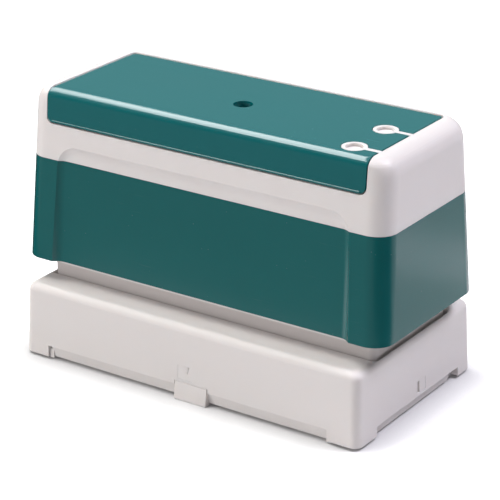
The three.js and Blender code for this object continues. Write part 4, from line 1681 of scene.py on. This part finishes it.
@dataclass
class Studio:
    """Floor, lights, world and camera."""

    place: Point3 = (0.3156, -0.46442, 0.26737)
    yaw: float = 34.078
    pitch: float = 22.503
    roll: float = 0.134
    lens: float = 153.24
    floor_tone: Point3 = (0.6, 0.595, 0.595)
    floor_lift: float = 0.6
    sky: float = 0.16
    shade_reach: float = 0.011
    shade_power: float = 2.6
    floor_reach: float = 12.0
    aim: Point3 = (0.0, 0.0, 0.05)

    def camera(self) -> None:
        """Places the camera."""
        data = bpy.data.cameras.new("camera")
        data.sensor_width = 36.0
        data.lens = self.lens
        data.clip_start, data.clip_end = 0.01, 50.0
        yaw, pitch, roll = (math.radians(v) for v in (self.yaw, self.pitch, self.roll))
        ahead = Vector(
            (-math.sin(yaw) * math.cos(pitch), math.cos(yaw) * math.cos(pitch), -math.sin(pitch))
        )
        right = ahead.cross(Vector((0, 0, 1))).normalized()
        up = right.cross(ahead)
        across = right * math.cos(roll) - up * math.sin(roll)
        rise = right * math.sin(roll) + up * math.cos(roll)
        camera = bpy.data.objects.new("camera", data)
        camera.matrix_world = (
            Matrix.Translation(self.place) @ Matrix((across, rise, -ahead)).transposed().to_4x4()
        )
        bpy.context.scene.collection.objects.link(camera)
        bpy.context.scene.camera = camera

    def lamp(
        self,
        name: str,
        at: Point3,
        size: Point2,
        power: float,
        tint: Point3,
        mirrored: bool = False,
    ) -> None:
        """Places a soft lamp that faces the stamp.

        Args:
            name: Its name.
            at: Its place.
            size: Its width and height.
            power: Its power in watts.
            tint: Its colour.
            mirrored: Whether glossy surfaces mirror it.
        """
        data = bpy.data.lights.new(name, "AREA")
        data.shape = "RECTANGLE"
        data.size, data.size_y = size
        data.energy = power
        data.color = tint
        lamp = bpy.data.objects.new(name, data)
        lamp.location = at
        lamp.visible_glossy = mirrored
        toward = Vector(self.aim) - Vector(at)
        lamp.rotation_mode = "QUATERNION"
        lamp.rotation_quaternion = toward.to_track_quat("-Z", "Y")
        bpy.context.scene.collection.objects.link(lamp)

    @staticmethod
    def flat(name: str, corners: Sequence[Point3], recipe: Recipe) -> bpy.types.Object:
        """Adds a flat studio surface.

        Args:
            name: Its name.
            corners: Its four corners.
            recipe: Its material's recipe.

        Returns:
            The surface's object.
        """
        mesh = bpy.data.meshes.new(name)
        mesh.from_pydata(corners, [], [(0, 1, 2, 3)])
        mesh.materials.append(recipe.material)
        surface = bpy.data.objects.new(name, mesh)
        bpy.context.scene.collection.objects.link(surface)
        return surface

    def floor(self) -> None:
        """Lays a plain pale floor that shows as white, keeps the lamps' shadows and has a painted
        contact shade near the stamp.
        """
        recipe = Recipe("studio_floor")
        diffuse = recipe.add("ShaderNodeBsdfDiffuse", None, {"Color": (*self.floor_tone, 1.0)})
        reach = {"Distance": self.shade_reach}
        # Painted contact shade: ambient occlusion dims the floor's white glow close to the stamp.
        near = recipe.add("ShaderNodeAmbientOcclusion", {"samples": 12}, reach, output="AO")
        seen = recipe.seen()
        lift = seen * near**self.shade_power * self.floor_lift
        glow = recipe.add("ShaderNodeEmission", None, {"Strength": lift})
        both = recipe.add("ShaderNodeAddShader", None, {0: diffuse, 1: glow})
        beyond = recipe.add("ShaderNodeEmission", None, {"Strength": seen})
        length = recipe.add(
            "ShaderNodeVectorMath", {"operation": "LENGTH"}, {0: recipe.place()}, "Value"
        )
        mix = {0: length.over(0.5, 1.1), 1: both, 2: beyond}
        recipe.closed(recipe.add("ShaderNodeMixShader", None, mix))
        side, z = self.floor_reach, -0.0001
        corners = [(-side, -side, z), (side, -side, z), (side, side, z), (-side, side, z)]
        self.flat("floor", corners, recipe)

    def card(
        self, name: str, corners: Sequence[Point3], level: float, tint: Point3 = (1.0, 1.0, 1.0)
    ) -> None:
        """Stands a card that only shows in glossy reflections.

        Args:
            name: Its name.
            corners: Its four corners.
            level: Its tone, where 1 is white.
            tint: Its colour.
        """
        recipe = Recipe(name)
        values = {"Color": (*tint, 1.0), "Strength": level}
        recipe.closed(recipe.add("ShaderNodeEmission", None, values))
        card = self.flat(name, corners, recipe)
        card.visible_camera = False
        card.visible_diffuse = False
        card.visible_transmission = False
        card.visible_shadow = False

    def cards(self) -> None:
        """Lays the level cards and stands the upright ones."""
        above, ground = 0.9, 0.0006
        for name, (x0, y0), (x1, y1), z, level in (
            ("overhead_left", (-0.98, -0.38), (-0.66, 0.5), above, 7.8),
            ("overhead_right", (-0.66, -0.6), (-0.3, 0.38), above, 12.0),
            ("front_floor", (-2.5, -2.5), (0.12, -0.085), ground, 0.36),
            ("corner_floor", (0.12, -2.5), (2.5, 0.03), ground, 0.04),
            ("right_floor", (0.09, 0.03), (0.4, 0.09), ground, 0.8),
            ("far_floor", (0.09, 0.125), (0.4, 0.5), ground, 0.75),
            ("back_floor", (-2.5, 0.05), (0.05, 2.5), ground, 0.05),
            ("left_floor", (-2.5, -0.085), (-0.09, 0.05), ground, 0.05),
        ):
            self.card(name, [(x0, y0, z), (x1, y0, z), (x1, y1, z), (x0, y1, z)], level)
        white, cyan = (1.0, 1.0, 1.0), (0.65, 1.0, 1.0)
        for name, start, end, (low, high), level, tint in (
            ("corner_wall", (0.45, -0.9), (1.0, -0.2), (0.0, 0.7), 0.04, white),
            ("front_wall", (-3.0, -1.7), (0.5, -1.7), (0.0, 1.5), 0.03, white),
            ("back_foot", (-1.6, 0.55), (0.4, 1.5), (0.0, 0.38), 0.05, white),
            ("back_wall", (-1.6, 0.55), (0.4, 1.5), (0.38, 1.2), 0.56, cyan),
        ):
            corners = [(*start, low), (*end, low), (*end, high), (*start, high)]
            self.card(name, corners, level, tint)

    def world(self) -> None:
        """Makes a white background that lights the stamp softly."""
        world = bpy.data.worlds.new("studio")
        bpy.context.scene.world = world
        world.use_nodes = True
        graph = Graph(world.node_tree)
        values = {"Value": graph.seen(), "To Min": self.sky, "To Max": 1.0}
        level = graph.add("ShaderNodeMapRange", None, values)
        glow = graph.add("ShaderNodeBackground", None, {"Strength": level})
        graph.add("ShaderNodeOutputWorld", None, {"Surface": glow})

    def build(self) -> None:
        """Builds the studio."""
        self.camera()
        self.floor()
        self.world()
        cool, warm, plain = (0.9, 0.88, 1.0), (1.0, 0.985, 0.975), (1.0, 0.995, 0.985)
        self.lamp("top_box", (-0.36, -0.14, 0.86), (0.6, 0.44), 6.9, plain)
        self.lamp("right_box", (0.64, 0.42, 1.14), (0.42, 0.36), 14.6, cool, mirrored=True)
        self.lamp("front_box", (-0.85, -1.1, 0.45), (0.7, 0.36), 9.3, warm)
        self.lamp("corner_box", (0.62, -0.85, 0.62), (0.5, 0.5), 1.7, cool)
        self.cards()
        bpy.context.scene.view_settings.view_transform = "Standard"


# ---------------------------------------------------------------- main


def main() -> None:
    """Builds the studio and every sub-assembly."""
    logging.basicConfig(level=logging.INFO, format="%(name)s: %(message)s")
    Studio().build()
    finishes = Finishes.made()
    for assembly in (Handle, Cover, Carriage, Springs):
        assembly(finishes).build()


if __name__ == "__main__":
    main()
